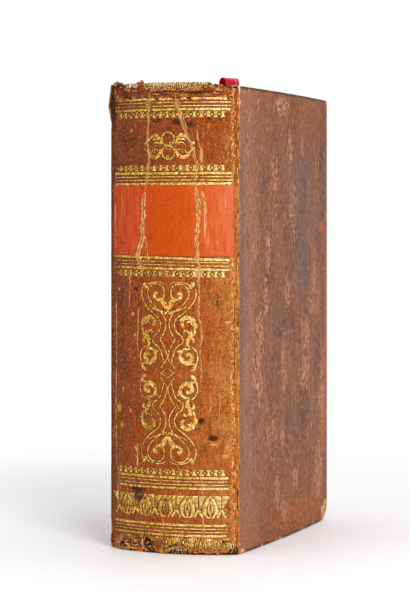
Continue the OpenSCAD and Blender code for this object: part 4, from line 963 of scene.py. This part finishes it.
def ridge(line, widths, section, step=0.4, tremble=0.3, wild=0.4):
    """Points, faces and gap shade of a ragged closed strip along a line of arc lengths, heights and lifts.
    Its section gives, round the strip, shares of the half width, rises, and painted shade for depth in a gap.
    Tremble is how far it strays from its line, and wild is how much its width varies."""
    line = np.asarray(line, float)
    run = np.concatenate([[0], np.cumsum(np.hypot(*np.diff(line[:, :2], axis=0).T))])
    at = np.linspace(0, run[-1], max(6, int(run[-1] / step)))
    s, z, lift = (np.interp(at, run, line[:, i]) for i in range(3))
    n, t = len(at), at / run[-1]
    s = s + tremble * (mottle(at / 1.6, at * 0 + line[0][0]) - 0.5) + tremble / 2 * (chance.random(n) - 0.5)
    d = np.stack([np.gradient(s), np.gradient(z)], -1)
    across = np.stack([d[:, 1], -d[:, 0]], -1) / np.linalg.norm(d, axis=1, keepdims=True)
    w = np.interp(t, np.linspace(0, 1, len(widths)), widths) / 2
    # Uneven, narrow at both ends, and lifted by the label's thickness where it crosses the label
    w = w * (1 + 1.4 * wild * (mottle(at / 1.2, at * 0 + line[0][1]) - 0.5))
    w = w * np.clip(np.minimum(t, 1 - t) * 9, 0.25, 1)
    lift = lift + LABEL_T * ramp(z, 136.3, 137.0) * (1 - ramp(z, 169.2, 169.9))
    made, gap_shades = [], []
    for share, rise, gap in section:
        reach = share * (1 + 0.8 * wild * (chance.random(n) - 0.5)) * w
        up = rise * (1 + 1.2 * wild * (chance.random(n) - 0.5)) * np.minimum(1, 2 * w) if rise > 0 else rise
        at_s = np.clip(s + across[:, 0] * reach, -CLEAR_S, CLEAR_S)
        made.append(on_spine(at_s, np.maximum(z + across[:, 1] * reach, 0.04), up + lift))
        gap_shades.append(np.full(n, gap))
    k = len(section)
    faces = [[i * k + a, i * k + (a + 1) % k, (i + 1) * k + (a + 1) % k, (i + 1) * k + a]
             for i in range(n - 1) for a in range(k)]
    faces += [list(range(k))[::-1], [(n - 1) * k + a for a in range(k)]]
    return np.stack(made, 1).reshape(-1, 3), faces, np.stack(gap_shades, 1).ravel()


def ridges(lines, **how):
    """Points, faces and gap shade of many ridges together, each from its line, widths and section."""
    points, faces, gap_shades = [], [], []
    for line, widths, section in lines:
        p, f, g = ridge(line, widths, section, **how)
        faces += [[q + len(points) for q in face] for face in f]
        points += [tuple(q) for q in p]
        gap_shades += list(g)
    return points, faces, gap_shades


splits = [([(-9.0, 213.0), (-8.8, 208.9), (-9.3, 201.9), (-9.7, 196.9), (-10.2, 189.6), (-9.3, 183.0),
            (-9.7, 178.0), (-10.2, 173.2), (-11.2, 166.9)], 1.0, 0.6),
          ([(-11.2, 167.5), (-11.7, 164.4), (-12.2, 159.4), (-12.2, 154.5), (-13.0, 150.4), (-12.2, 145.5),
            (-13.3, 142.9), (-14.8, 139.6), (-15.4, 136.7), (-14.3, 133.4), (-12.8, 130.6), (-13.4, 127)],
           2.3, 0.5),
          ([(-12.2, 146.5), (-11.2, 144.6), (-10.5, 140.5), (-10.2, 136.3), (-9.8, 132)], 1.1, 1.0),
          ([(-11.6, 165), (-12.4, 158), (-11.4, 152), (-12.4, 147)], 0.7, 1.0),
          ([(4.3, 211.5), (4.3, 209.4), (5.2, 205.7), (6.1, 201.6), (7.4, 197.5), (9.5, 193.4), (11.1, 189.3),
            (12.8, 185.1), (13.2, 181.9), (14.9, 178.6), (13.7, 173.7), (14.0, 169.2)], 1.2, 0.5),
          ([(14.1, 170.0), (14.5, 163.4), (15.1, 158.1), (14.9, 153.2), (14.5, 147.1), (14.3, 140.6),
            (14.5, 135.7), (15.3, 130.8), (14.9, 126.8), (15.5, 122)], 2.1, 0.3),
          ([(7.9, 200.9), (8.6, 198.7), (9.9, 195.0)], 0.6, 0.4),
          ([(14.5, 195.0), (14.9, 190.9), (15.8, 186.0)], 0.6, 0.3),
          ([(16.6, 166.5), (17.6, 163.4), (18.2, 159.3), (18.4, 155.5)], 1.3, 0.1),
          ([(18.3, 155), (18.6, 148), (18.8, 142)], 0.35, 0.2),
          ([(15.7, 123.6), (15.3, 116.7), (15.4, 108.5), (16.3, 105.3), (16.5, 98.5), (15.9, 93.0),
            (16.6, 84), (16.0, 76)], 0.55, 0.4),
          ([(16.7, 41.5), (16.7, 37.7), (16.9, 33.6), (17.1, 26.7), (17.3, 15.7), (17.8, 10.7), (17.3, 6.6)],
           0.6, 0.4),
          ([(-3.4, 37.0), (-3.1, 32.9), (-2.8, 29.2)], 0.35, 0.5),
          ([(5.2, 38), (5.3, 33), (5.1, 29)], 0.3, 0.5),
          ([(-2.0, 16), (-1.6, 11)], 0.5, 0.4),
          ([(-17.4, 49.5), (-15.9, 46.0), (-15.4, 42.8), (-15.9, 39.0)], 0.7, 0.3),
          ([(-14.8, 113.7), (-15.6, 108.0), (-15.8, 100.4), (-15.4, 92)], 0.5, 0.4),
          ([(26.8, 79.3), (28.2, 78.8), (29.6, 77.2)], 0.5, 0.1),
          ([(20.2, 73.9), (21.1, 68.6), (19.8, 64.1)], 0.35, 0.1),
          ([(-20.5, 131), (-20.2, 122), (-21, 112)], 0.3, 0.3),
          ([(25.2, 90), (25.5, 78), (24.8, 66), (25.6, 55)], 0.3, 0.3),
          ([(-29.8, 120), (-29.4, 95), (-30, 70), (-29.5, 40)], 0.35, 0.3)]
lips = []
for line, width, gape in splits:
    section = ((-1, 0.0, 0), (-0.6, 0.22, 0), (-0.3 * gape - 0.1, 0.06, 0.8 * gape), (0.0, -0.1, gape),
               (0.3 * gape + 0.1, 0.05, 0.8 * gape), (0.55, 0.2, 0), (1, 0.0, 0), (0.6, -0.35, 0),
               (-0.6, -0.35, 0))
    lips.append(([(s, z, 0.06) for s, z in line], (width, width), section))
points, faces, gap_shades = ridges(lips)
cracks = mesh_object("spine_splits", points, faces, torn_fibre)
paint(cracks, gap=gap_shades)
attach(cracks, "bound_leaves")

# Torn head and tail
# The turned-in leather has broken away at head and tail and left curled, fibrous edges, with shreds of calf
# and scraps of paper lining. At the tail a few threads of the tailband hang loose.
# Soft grey-white paper, soiled brown in spots
lining_scrap, tree, place = finish_named("torn_paper_lining")
soil = put(tree, "ShaderNodeTexNoise", {0: place, "Scale": 700.0, "Detail": 3.0})
scrap = put(tree, "ShaderNodeValToRGB", {0: soil},
            stops=[(0.32, "#6E5242"), (0.43, "#B49C90"), (0.54, "#DACCC8"), (0.68, "#F4EEEE")])
surface(tree, scrap, (soil, 0.0003, 0.7), rough=0.9, gloss=0.1)
# Each shred: a line of arc lengths, heights and lifts, and its widths from end to end
leather_shreds = [([(-31.4, 210.5, 0.2), (-30.6, 214, 0.4), (-30.0, 216.4, 0.5), (-29.0, 218.0, 0.3)],
                   (0.8, 1.5, 1.3, 0.5)),
                  ([(-29.3, 217.6, 0.2), (-27.0, 216.3, 0.4), (-24.5, 214.7, 0.5), (-21.5, 213.7, 0.4),
                    (-18.0, 213.1, 0.4), (-14.6, 213.0, 0.3)], (0.6, 1.3, 1.2, 1.0, 0.6)),
                  ([(-16.6, 214.2, 0.2), (-15.2, 215.2, 0.4), (-14.2, 216.4, 0.4), (-13.4, 217.6, 0.1)],
                   (0.8, 1.2, 0.8, 0.2)),
                  ([(-15.4, 214.6, 0.5), (-15.8, 216.0, 0.6), (-15.3, 217.0, 0.4)], (0.7, 0.6, 0.2)),
                  ([(-12.9, 215.4, 0.4), (-12.2, 216.4, 0.4), (-12.3, 217.4, 0.2)], (0.9, 0.6, 0.2)),
                  ([(-13.0, 213.3, 0.1), (-8, 213.0, 0.15), (-3, 212.8, 0.2), (2, 213.2, 0.1),
                    (7, 212.7, 0.2), (12, 213.0, 0.2)], (0.6, 0.9, 0.6, 0.9, 0.7)),
                  ([(-9.6, 211.6, 0.05), (-5, 211.0, 0.1), (0, 211.8, 0.1), (5, 211.2, 0.05),
                    (9, 211.7, 0.1)], (0.4, 0.8, 0.4, 0.8, 0.3)),
                  ([(11.0, 212.9, 0.2), (15, 213.6, 0.35), (19, 214.3, 0.45), (24, 214.8, 0.45),
                    (28.4, 214.3, 0.3), (31.4, 213.2, 0.1)], (0.7, 1.7, 2.0, 1.9, 1.5, 0.8)),
                  ([(13.0, 211.0, 0.05), (18, 210.6, 0.15), (23, 211.3, 0.2), (27.6, 210.6, 0.1)],
                   (0.4, 0.8, 0.9, 0.4)),
                  ([(29.0, 213.4, 0.2), (30.0, 209.0, 0.25), (30.6, 204.5, 0.2), (31.2, 199.6, 0.1)],
                   (0.8, 1.1, 0.9, 0.4)),
                  ([(-28.8, 209.6, 0.05), (-23, 210.4, 0.15), (-17, 210.0, 0.1), (-12, 210.9, 0.05)],
                   (0.4, 0.7, 0.6, 0.3)),
                  ([(-32.0, 4.4, 0.1), (-27.5, 3.2, 0.5), (-22, 4.2, 0.6), (-16.5, 5.0, 0.4),
                    (-13.2, 7.4, 0.4), (-10.4, 8.6, 0.5), (-8.0, 7.0, 0.5), (-6.6, 3.6, 0.5),
                    (-5.2, 1.8, 0.4)], (0.6, 1.2, 0.9, 1.2, 1.0, 0.8)),
                  ([(-33.0, 8.6, 0.1), (-33.2, 5.6, 0.6), (-33.1, 3.0, 0.8), (-32.4, 0.7, 0.7)],
                   (0.6, 1.4, 1.6, 1.0)),
                  ([(-26.5, 2.6, 0.4), (-24.0, 1.8, 0.7), (-21.6, 2.9, 0.5)], (0.5, 1.2, 0.4)),
                  ([(-31, 1.3, 0.3), (-26, 1.0, 0.7), (-20, 1.4, 0.6), (-14.0, 0.9, 0.4)],
                   (0.8, 1.5, 1.5, 0.8)),
                  ([(-20.0, 3.2, 0.2), (-17.5, 2.4, 0.6), (-15.0, 3.4, 0.2)], (0.4, 0.9, 0.4)),
                  ([(-5, 2.7, 0.1), (-1, 1.7, 0.25), (1.6, 3.4, 0.3), (4.4, 4.5, 0.3), (8, 4.4, 0.3),
                    (10.6, 2.6, 0.3)], (0.4, 0.9, 0.5, 0.9, 0.5)),
                  ([(10.8, 1.6, 0.3), (13, 1.0, 0.2), (16, 2.4, 0.3), (18.4, 1.3, 0.2)],
                   (0.8, 1.3, 0.6, 0.9)),
                  ([(-4.6, 0.8, 0.2), (-1.5, 0.6, 0.35), (1.0, 1.0, 0.2)], (0.6, 1.1, 0.4)),
                  ([(18.0, 0.9, 0.1), (21.6, 2.3, 0.3), (25.2, 4.0, 0.35), (27.8, 6.2, 0.35),
                    (31.6, 7.6, 0.2)], (0.5, 1.2, 1.0, 1.3, 0.7)),
                  ([(23.0, 0.9, 0.2), (26.0, 2.0, 0.35), (28.4, 1.2, 0.2)], (0.5, 0.9, 0.4)),
                  ([(30.2, 0.9, 0.0), (31.2, 3.0, 0.0), (32.4, 4.6, 0.0)], (0.7, 0.9, 0.4)),
                  ([(-12.4, 5.2, -0.3), (-10.9, 4.0, 0.0), (-9.2, 4.9, -0.2)], (0.6, 1.1, 0.5)),
                  ([(-12.8, 2.2, -0.2), (-10.7, 1.2, 0.1), (-8.6, 1.9, -0.1), (-6.4, 0.9, 0.1)],
                   (0.8, 1.5, 1.1, 0.6)),
                  ([(31.9, 0.8, -0.3), (32.4, 3.4, -0.2), (32.2, 6.8, -0.1)], (0.9, 1.2, 0.7))]
paper_shreds = [([(-26.0, 215.7, 0.2), (-24.4, 216.3, 0.3), (-22.6, 216.0, 0.2)], (0.5, 0.8, 0.4)),
                ([(-22.0, 214.9, 0.6), (-19.4, 215.5, 0.9), (-17.2, 215.2, 0.8), (-16.2, 214.4, 0.5)],
                 (1.4, 3.0, 2.6, 0.8)),
                ([(-24.8, 2.4, 0.2), (-22.8, 2.9, 0.4), (-20.6, 2.6, 0.2)], (0.5, 0.9, 0.4)),
                ([(-12.7, 6.4, 0.2), (-12.6, 3.4, 0.3), (-12.8, 1.0, 0.2)], (0.4, 0.6, 0.5)),
                ([(-9.8, 3.2, -0.6), (-8.6, 1.6, -0.5)], (0.3, 0.5, 0.2)),
                ([(24.6, 3.0, 0.2), (26.4, 3.6, 0.3)], (0.3, 0.5, 0.3))]
curled = ((-1, -0.05, 0), (-0.55, 0.2, 0), (0.0, 0.34, 0), (0.55, 0.2, 0), (1, -0.05, 0), (0.5, -0.3, 0),
          (-0.5, -0.3, 0))
thread_ends = []
for s, lean in ((2.8, 0.1), (4.2, 0.2), (5.6, -0.1), (7.0, 0.15), (8.4, 0.1), (9.6, -0.2)):
    thread_ends.append(([(s, 3.6, -0.7), (s + lean, 1.8, -0.2), (s + 2 * lean, 0.3, -0.1)],
                        (0.45, 0.6, 0.45)))
for name, shreds, finish in (("torn_calf_edges", leather_shreds, spine_calf),
                             ("torn_lining_paper", paper_shreds, lining_scrap),
                             ("tailband_thread_ends", thread_ends, sewing_thread)):
    shreds = [(line, widths, curled) for line, widths in shreds]
    points, faces = ridges(shreds, step=0.3, tremble=0.8, wild=1.4)[:2]
    piece = mesh_object(name, points, faces, finish)
    x, y, z = np.array(points).T * 1000
    paint(piece, frayed=0.2 + 0.9 * mottle(x / 1.1, z / 0.8),
          stained=1.3 * ramp(mottle(x / 1.3 + 9, z / 0.9 + 4), 0.55, 0.75),
          rubbed=1.1 * ramp(mottle(x / 1.2 + 21, z / 0.8 + 7), 0.62, 0.8))
    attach(piece, "bound_leaves")
# Behind the three holes at the tail a patch of calf is painted black as the shade inside each hole.
for left, right, top in ((-14.0, -5.2, 8.4), (1.4, 10.6, 3.6), (27.6, 33.3, 7.6)):
    s, z = np.meshgrid(np.linspace(left, right, 12), np.linspace(0.3, top, 12))
    outer, inner = (round_spine(FLESH_R + rise, s / SPINE_R, z) * MM for rise in (0.04, -0.02))
    hole_shade = skin("glue_blackened_patch", outer, inner, 11, spine_calf)
    paint(hole_shade, stained=1.2 + 0 * s)
    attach(hole_shade, "bound_leaves")


# Covers
# Pasteboard covered with sprinkled calf: the acid ran down the boards and left grey-brown tracks and orange,
# speckled patches. The leather is turned in over three edges, rounded by handling and rubbed pale at corners.
side_calf, tree, place = finish_named("streaked_and_sprinkled_calf")
z = put(tree, "ShaderNodeSeparateXYZ", {0: place}, out="Z")
# Grain drawn out into streaks about 1 mm wide and 9 mm long, over clouds of about 20 mm
streak = put(tree, "ShaderNodeMapping", {0: place, 3: (900.0, 900.0, 105.0)})
streak = put(tree, "ShaderNodeTexNoise",
             {0: streak, "Scale": 1.0, "Detail": 4.0, "Roughness": 0.65, "Distortion": 0.9})
cloud = put(tree, "ShaderNodeMapping", {0: place, 3: (58.0, 58.0, 30.0)})
cloud = put(tree, "ShaderNodeTexNoise", {0: cloud, "Scale": 1.0, "Detail": 3.0, "Roughness": 0.55})
rag = put(tree, "ShaderNodeTexNoise", {0: place, "Scale": 420.0, "Detail": 4.0, "Roughness": 0.7})
tone = put(tree, "ShaderNodeMath", {0: streak, 1: 1.1}, operation="MULTIPLY")
tone = put(tree, "ShaderNodeMath", {0: cloud, 1: 0.6, 2: tone}, operation="MULTIPLY_ADD")
tone = put(tree, "ShaderNodeMath", {0: rag, 1: 0.5, 2: tone}, operation="MULTIPLY_ADD")
sprinkle = put(tree, "ShaderNodeMapping", {0: place, 3: (1050.0, 1050.0, 430.0)})
sprinkle = put(tree, "ShaderNodeTexNoise",
               {0: sprinkle, "Scale": 1.0, "Detail": 2.0, "Roughness": 0.65, "Distortion": 1.2})
tone = put(tree, "ShaderNodeMath", {0: sprinkle, 1: 0.5, 2: tone}, operation="MULTIPLY_ADD")
tone = put(tree, "ShaderNodeMapRange", {0: tone, 1: 1.09, 2: 1.59})
calf_side = put(tree, "ShaderNodeValToRGB", {0: tone},
                stops=[(0.0, "#50342A"), (0.25, "#704838"), (0.5, "#8A5842"), (0.75, "#9C644A"),
                       (1.0, "#B87C56")])
# Warmer brown toward head and tail
warm = put(tree, "ShaderNodeMapRange", {0: z, 1: 0.045, 2: 0.006, 3: 0.0, 4: 0.8})
warm_head = put(tree, "ShaderNodeMapRange", {0: z, 1: 0.18, 2: 0.206, 3: 0.0, 4: 0.6})
warm = put(tree, "ShaderNodeMath", {0: warm, 1: warm_head}, operation="ADD")
calf_side = put(tree, "ShaderNodeMix", {0: warm, 6: calf_side, 7: linear("#96501E")}, out=2, data_type="RGBA")
# Paler beside the joint, where hands have rubbed
y = put(tree, "ShaderNodeSeparateXYZ", {0: place}, out="Y")
calf_side = over(tree, calf_side, y, -0.028, -0.05, 0.38, "#B8826A")
# Sprinkled patches, pale drops among dark specks of about 1 by 2 mm; greyed tracks; a redder fore-edge
drops = put(tree, "ShaderNodeValToRGB", {0: sprinkle},
            stops=[(0.37, "#40241C"), (0.45, "#905438"), (0.52, "#BE7A52"), (0.6, "#DAA078"),
                   (0.7, "#F0CAA8")])
both = put(tree, "ShaderNodeMath", {0: streak, 1: rag}, operation="ADD")
for layer, colour, spread, most, low, high in (("greyed", "#765E5A", 1.1, 0.7, 0.25, 0.8),
                                               ("reddened", "#B8643A", 1.6, 0.88, 0.35, 0.65),
                                               ("sprinkled", drops, 1.8, 0.95, 0.34, 0.54)):
    calf_side = painted(tree, calf_side, layer, both, spread, low, high, most, colour, mean=1.0)
# Short light scuffs and dark pores everywhere
calf_side = over(tree, calf_side, sprinkle, 0.57, 0.67, 0.6, "#BE9270")
calf_side = over(tree, calf_side, sprinkle, 0.44, 0.36, 0.65, "#4A3026")
# Rubbed edges and corners, where the calf shows its pale inside, and dark edges where it doesn't
fibres = put(tree, "ShaderNodeValToRGB", {0: rag},
             stops=[(0.34, "#6E3A18"), (0.44, "#B87434"), (0.53, "#DC9E56"), (0.66, "#F6D6A2")])
for layer, colour, most in (("edge", "#3E2A22", 0.85), ("rubbed", fibres, 0.95), ("bared", "#EED2AA", 0.85)):
    calf_side = painted(tree, calf_side, layer, rag, 2.4, 0.35, 0.7, most, colour)
rough = put(tree, "ShaderNodeMapRange", {0: streak, 1: 0.3, 2: 0.7, 3: 0.55, 4: 0.72})
surface(tree, calf_side, (sprinkle, 0.0004, 0.6), (streak, 0.0003, 0.4), rough=rough, gloss=0.14)

# Places read off the front cover: distance back along it, height, half width, half height, strength
sprinkled = [(-25.3, 138, 4, 13, 0.8), (-27.9, 117, 4, 11, 0.85), (2.2, 119, 5, 10, 0.6),
             (45.8, 124.7, 4, 9, 0.9), (38.8, 112.8, 5, 8, 0.8), (30.2, 97.2, 7, 12, 0.9),
             (30.2, 78.3, 7, 10, 0.9), (23.7, 69.4, 4, 6, 0.7), (-35.5, 99, 5.5, 13, 1.0),
             (-39.2, 82.9, 6, 9, 1.0), (-35.5, 74.7, 5, 7, 0.9), (-3.6, 87.3, 3.5, 10, 0.85),
             (-2.2, 75.6, 3.5, 8, 0.8), (-5, 47, 4, 6, 1.0), (-12, 24.2, 4, 9, 1.0), (-2.2, 13.4, 5, 6, 1.0),
             (14.2, 26, 5, 6, 1.0), (53.1, 27.6, 8, 16, 0.9), (58.8, 66.7, 5, 24, 0.8),
             (-5, 207.8, 12, 6, 0.8), (-37.9, 206.6, 3, 4, 0.7), (-41.6, 193, 1.5, 8, 0.7),
             (6.6, 187.4, 5, 11, 0.7), (25.3, 189.5, 3, 4, 0.7), (-16, 172, 7, 24, 0.5),
             (10, 155, 8, 26, 0.45), (-50, 185, 3, 20, 0.4), (50, 178, 5, 12, 0.45), (-20, 55, 10, 12, 0.4)]
greyed = [(23.7, 133.6, 14, 22, 0.9), (20, 172, 22, 24, 0.55), (11.1, 83, 3, 7, 0.6),
          (35.3, 192.3, 6, 8, 0.5), (-20, 150, 5, 10, 0.3), (44, 152, 12, 14, 0.6), (-14, 100, 4, 20, 0.5),
          (8, 55, 12, 10, 0.5), (-56.4, 110, 2.2, 120, 0.8), (37, 60, 5, 10, 0.5), (46, 92, 6, 16, 0.45),
          (-50, 120, 5, 26, 0.35)]
reddened = [(60.5, 149.5, 5.5, 3.4, 1.2), (66.5, 95, 3.5, 70, 0.85), (61, 62, 8, 40, 0.9),
            (50, 22, 16, 14, 0.6), (20, 10, 50, 9, 0.5), (-40, 175, 4, 14, 0.4), (44, 70, 2.5, 9, 0.5),
            (-30, 30, 9, 16, 0.4)]

BOARD_H, BOARD_W, COVER_T = 215.0, 130.0, 3.8
JOINT_Y, FLAP_Y, FORE_Y = -60.5, -60.35, 69.5
# Half the book's thickness at the joint, how much less it is at the fore-edge, and the bow of each cover
JOINT_X, TAPER, BOW = 32, 1, 2


def cover_face(y):
    """Distance of the bowed outer face from the book's middle plane at a given y, in millimetres."""
    t = (y - JOINT_Y) / BOARD_W
    return JOINT_X + 4 * BOW * t * (1 - t) - TAPER * t


def unevenness(y, z):
    """How far the face of a cover swells or sinks, in millimetres."""
    return 0.35 * (mottle(y / 22 + 5, z / 30) - 0.5) + 0.1 * (mottle(y / 5, z / 9) - 0.5) - 0.25


def joint_rub(y, z):
    """How much hands have rubbed a cover beside its joint."""
    return (1 - ramp(y, -60.1, -58.4)) * (0.25 + 0.7 * mottle(z / 9, z * 0 + 4) + 0.5 * ramp(z, 194, 200))


def corner_loop(inset, radii, across, up, arc_steps):
    """A line round a cover's tail, fore-edge and head at some inset, with both corners worn round."""
    y1, z0, z1 = FORE_Y - inset, inset, BOARD_H - inset
    tail_y, tail_z, head = (max(q - inset, 0.02) for q in radii)
    turns = np.linspace(0, math.pi / 2, arc_steps)[1:-1]
    loop = [(y, z0) for y in np.minimum(across, y1 - tail_y)]
    loop += [(y1 - tail_y + tail_y * math.sin(a), z0 + tail_z - tail_z * math.cos(a)) for a in turns]
    loop += [(y1, z) for z in np.clip(up, z0 + tail_z, z1 - head)]
    loop += [(y1 - head + head * math.cos(a), z1 - head + head * math.sin(a)) for a in turns]
    loop += [(y, z1) for y in np.minimum(across, y1 - head)[::-1]]
    return np.array(loop)


def cover(side, body_name, corner):
    """One cover's leather: rings from the middle of the outer face, round the edge and in over the board."""
    across, up = np.linspace(FLAP_Y, FORE_Y, 100), np.linspace(0, BOARD_H, 160)
    # Inset from the edge, and depth below the outer face, of each ring
    rings = [(d, 0.0) for d in (60, 50, 42, 35, 29, 24, 20, 16.5, 13.5, 11, 9, 7.2, 5.6, 4.2, 3.0, 2.0)]
    rings += [(1.3 * (1 - math.sin(a)), 1.3 * (1 - math.cos(a))) for a in np.radians((25, 45, 65, 90))]
    rings += [(0.0, COVER_T / 2)]
    rings += [(1.1 * (1 - math.cos(a)), COVER_T - 1.1 * (1 - math.sin(a)))
              for a in np.radians((0, 30, 60, 90))]
    rings += [(2.5, COVER_T), (6.0, COVER_T), (10.0, COVER_T), (14.0, COVER_T)]
    points, edge, rubbed = [], [], []
    for k, (inset, depth) in enumerate(rings):
        loop = corner_loop(inset, corner, across, up, 12)
        y, z = loop[:, 0], loop[:, 1]
        wave = unevenness(y, z) * ramp(inset, 0, 9) if depth == 0 else 0 * y
        dent = 0.25 * mottle(y / 3.1, z / 3.7) if inset < 1.2 else 0
        points.append(np.stack([side * (cover_face(y) - depth + wave), np.minimum(y, FORE_Y - dent),
                                np.clip(z, dent, BOARD_H - dent)], -1) * MM)
        tail_corner = 1 - ramp(np.hypot((y - 66) / 10, (z - 3) / 9), 0.5, 1.2)
        head_corner = 0.85 * (1 - ramp(np.hypot((y - FORE_Y) / 4, (z - BOARD_H) / 4), 0.4, 1.3))
        near_tail = 0.9 * (1 - ramp(np.hypot((y + 58) / 7, z / 2.2), 0.5, 1.3))
        tail_edge = 0.55 * (1 - ramp(z, 0.2, 2.2)) * mottle(y / 7, z * 0 + 3)
        edge.append(np.full(len(y), float(inset < 1.5)))
        rubbed.append(np.maximum.reduce([np.maximum(tail_corner, head_corner) * (inset < 9),
                                         near_tail * (inset < 4), tail_edge * (inset < 3) * 1.3,
                                         joint_rub(y, z)]))
    n, m = len(rings), len(points[0])
    faces = [[i * m + j, i * m + j + 1, (i + 1) * m + j + 1, (i + 1) * m + j] for i in range(n - 1)
             for j in range(m - 1)]
    # The middle of the face, inside the first ring, is closed by a grid whose lines meet that ring's points.
    points = [p for loop in points for p in loop]
    last_y, first_z, last_z = FORE_Y - rings[0][0] - 0.02, rings[0][0], BOARD_H - rings[0][0]
    ys = np.unique(np.minimum(across, last_y))
    zs = np.unique(np.clip(up, first_z + 0.02, last_z - 0.02))
    zs[0], zs[-1] = first_z, last_z
    y, z = np.meshgrid(ys, zs)
    base, k = len(points), len(ys)
    points += list((np.stack([side * (cover_face(y) + unevenness(y, z)), y, z], -1) * MM).reshape(-1, 3))
    faces += [[base + i * k + j, base + (i + 1) * k + j, base + (i + 1) * k + j + 1, base + i * k + j + 1]
              for i in range(len(zs) - 1) for j in range(k - 1)]
    if side > 0:
        faces = [f[::-1] for f in faces]
    made = mesh_object(body_name + "_calf", points, faces, side_calf)
    spots = np.array(points) * 1000
    rubbed.append(joint_rub(spots[base:, 1], spots[base:, 2]))
    # A strip of the front cover's head beside the joint is bared to the pale flesh of the calf.
    y, z = spots[:, 1], spots[:, 2]
    bared = (1 - ramp(y, -59.5, -58.4)) * ramp(z, 196, 206) * (side > 0) * (0.5 + 0.6 * mottle(z / 3, 2.0))
    # The back cover has the same kinds of mark, thrown the other way up.
    z = z if side > 0 else BOARD_H - z
    paint(made, edge=np.concatenate(edge), rubbed=np.concatenate(rubbed), bared=bared,
          sprinkled=patches(sprinkled, y, z), greyed=patches(greyed, y, z), reddened=patches(reddened, y, z))
    weld = made.modifiers.new("weld", "WELD")
    weld.merge_threshold = 0.03 * MM
    wall = made.modifiers.new("thickness", "SOLIDIFY")
    wall.thickness, wall.offset, wall.use_even_offset = 0.28 * MM, -1.0, False
    graph = bpy.context.evaluated_depsgraph_get()
    solid = bpy.data.meshes.new_from_object(made.evaluated_get(graph))
    made.modifiers.clear()
    made.data = solid
    made.data.shade_smooth()
    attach(made, body_name)
    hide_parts(body_name + "_leather")


# The worn corners' radii: at the tail along Y and along Z, and at the head
cover(1, "front_cover", (12.0, 8.0, 1.8))
cover(-1, "back_cover", (4.0, 3.0, 2.2))

# Pasteboards
# Layers of waste paper pasted and pressed into boards. They are seen only at rubbed corners and inside the
# joints, where the layers show as fine lines.
pasteboard, tree, place = finish_named("pressed_pasteboard")
layers = put(tree, "ShaderNodeMapping", {0: place, 3: (3300.0, 60.0, 60.0)})
layers = put(tree, "ShaderNodeTexNoise", {0: layers, "Scale": 1.0, "Detail": 2.0})
board = put(tree, "ShaderNodeValToRGB", {0: layers},
            stops=[(0.3, "#8A6138"), (0.5, "#B98A52"), (0.7, "#D2A974")])
surface(tree, board, (layers, 0.0002, 0.6), rough=0.9, gloss=0.2)
for name in ("front_board", "back_board"):
    dress(name, pasteboard)

# Pastedowns and free endpapers
# Plain rag paper pasted inside each cover and foxed with age. The outermost leaves of the block are free
# endpapers of the same paper.
endpaper, tree, place = finish_named("foxed_rag_endpaper")
# Laid lines 2.2 mm apart, twice as far as real ones, so that they show
laid = put(tree, "ShaderNodeTexWave", {0: place, "Scale": 145.0, "Distortion": 0.3}, out=1,
           bands_direction="Z")
cloud = put(tree, "ShaderNodeTexNoise", {0: place, "Scale": 22.0, "Detail": 6.0, "Roughness": 0.6})
sheet = put(tree, "ShaderNodeValToRGB", {0: cloud},
            stops=[(0.25, "#CDB486"), (0.5, "#D8C398"), (0.75, "#E0CEA8")])
foxing = put(tree, "ShaderNodeTexVoronoi", {0: place, "Scale": 160.0})
spots = put(tree, "ShaderNodeTexNoise", {0: place, "Scale": 60.0, "Detail": 2.0})
fox = put(tree, "ShaderNodeMapRange", {0: foxing, 1: 0.30, 2: 0.10, 3: 0.0, 4: 1.0})
few = put(tree, "ShaderNodeMapRange", {0: spots, 1: 0.55, 2: 0.7, 3: 0.0, 4: 0.75})
fox = put(tree, "ShaderNodeMath", {0: fox, 1: few}, operation="MULTIPLY")
sheet = put(tree, "ShaderNodeMix", {0: fox, 6: sheet, 7: linear("#8C5A2C")}, out=2, data_type="RGBA")
lines = put(tree, "ShaderNodeMapRange", {0: laid, 3: 0.12, 4: 0.0})
sheet = put(tree, "ShaderNodeMix", {0: lines, 6: sheet, 7: linear("#8F7348")}, out=2, data_type="RGBA")
surface(tree, sheet, (laid, 0.0001, 0.4), rough=0.85, gloss=0.25)
for name in ("front_pastedown", "back_pastedown"):
    dress(name, endpaper)
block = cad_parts["text_block"].data
block.materials.append(endpaper)
for face in block.polygons:
    if abs(face.normal.x) > 0.98:
        face.material_index = 1
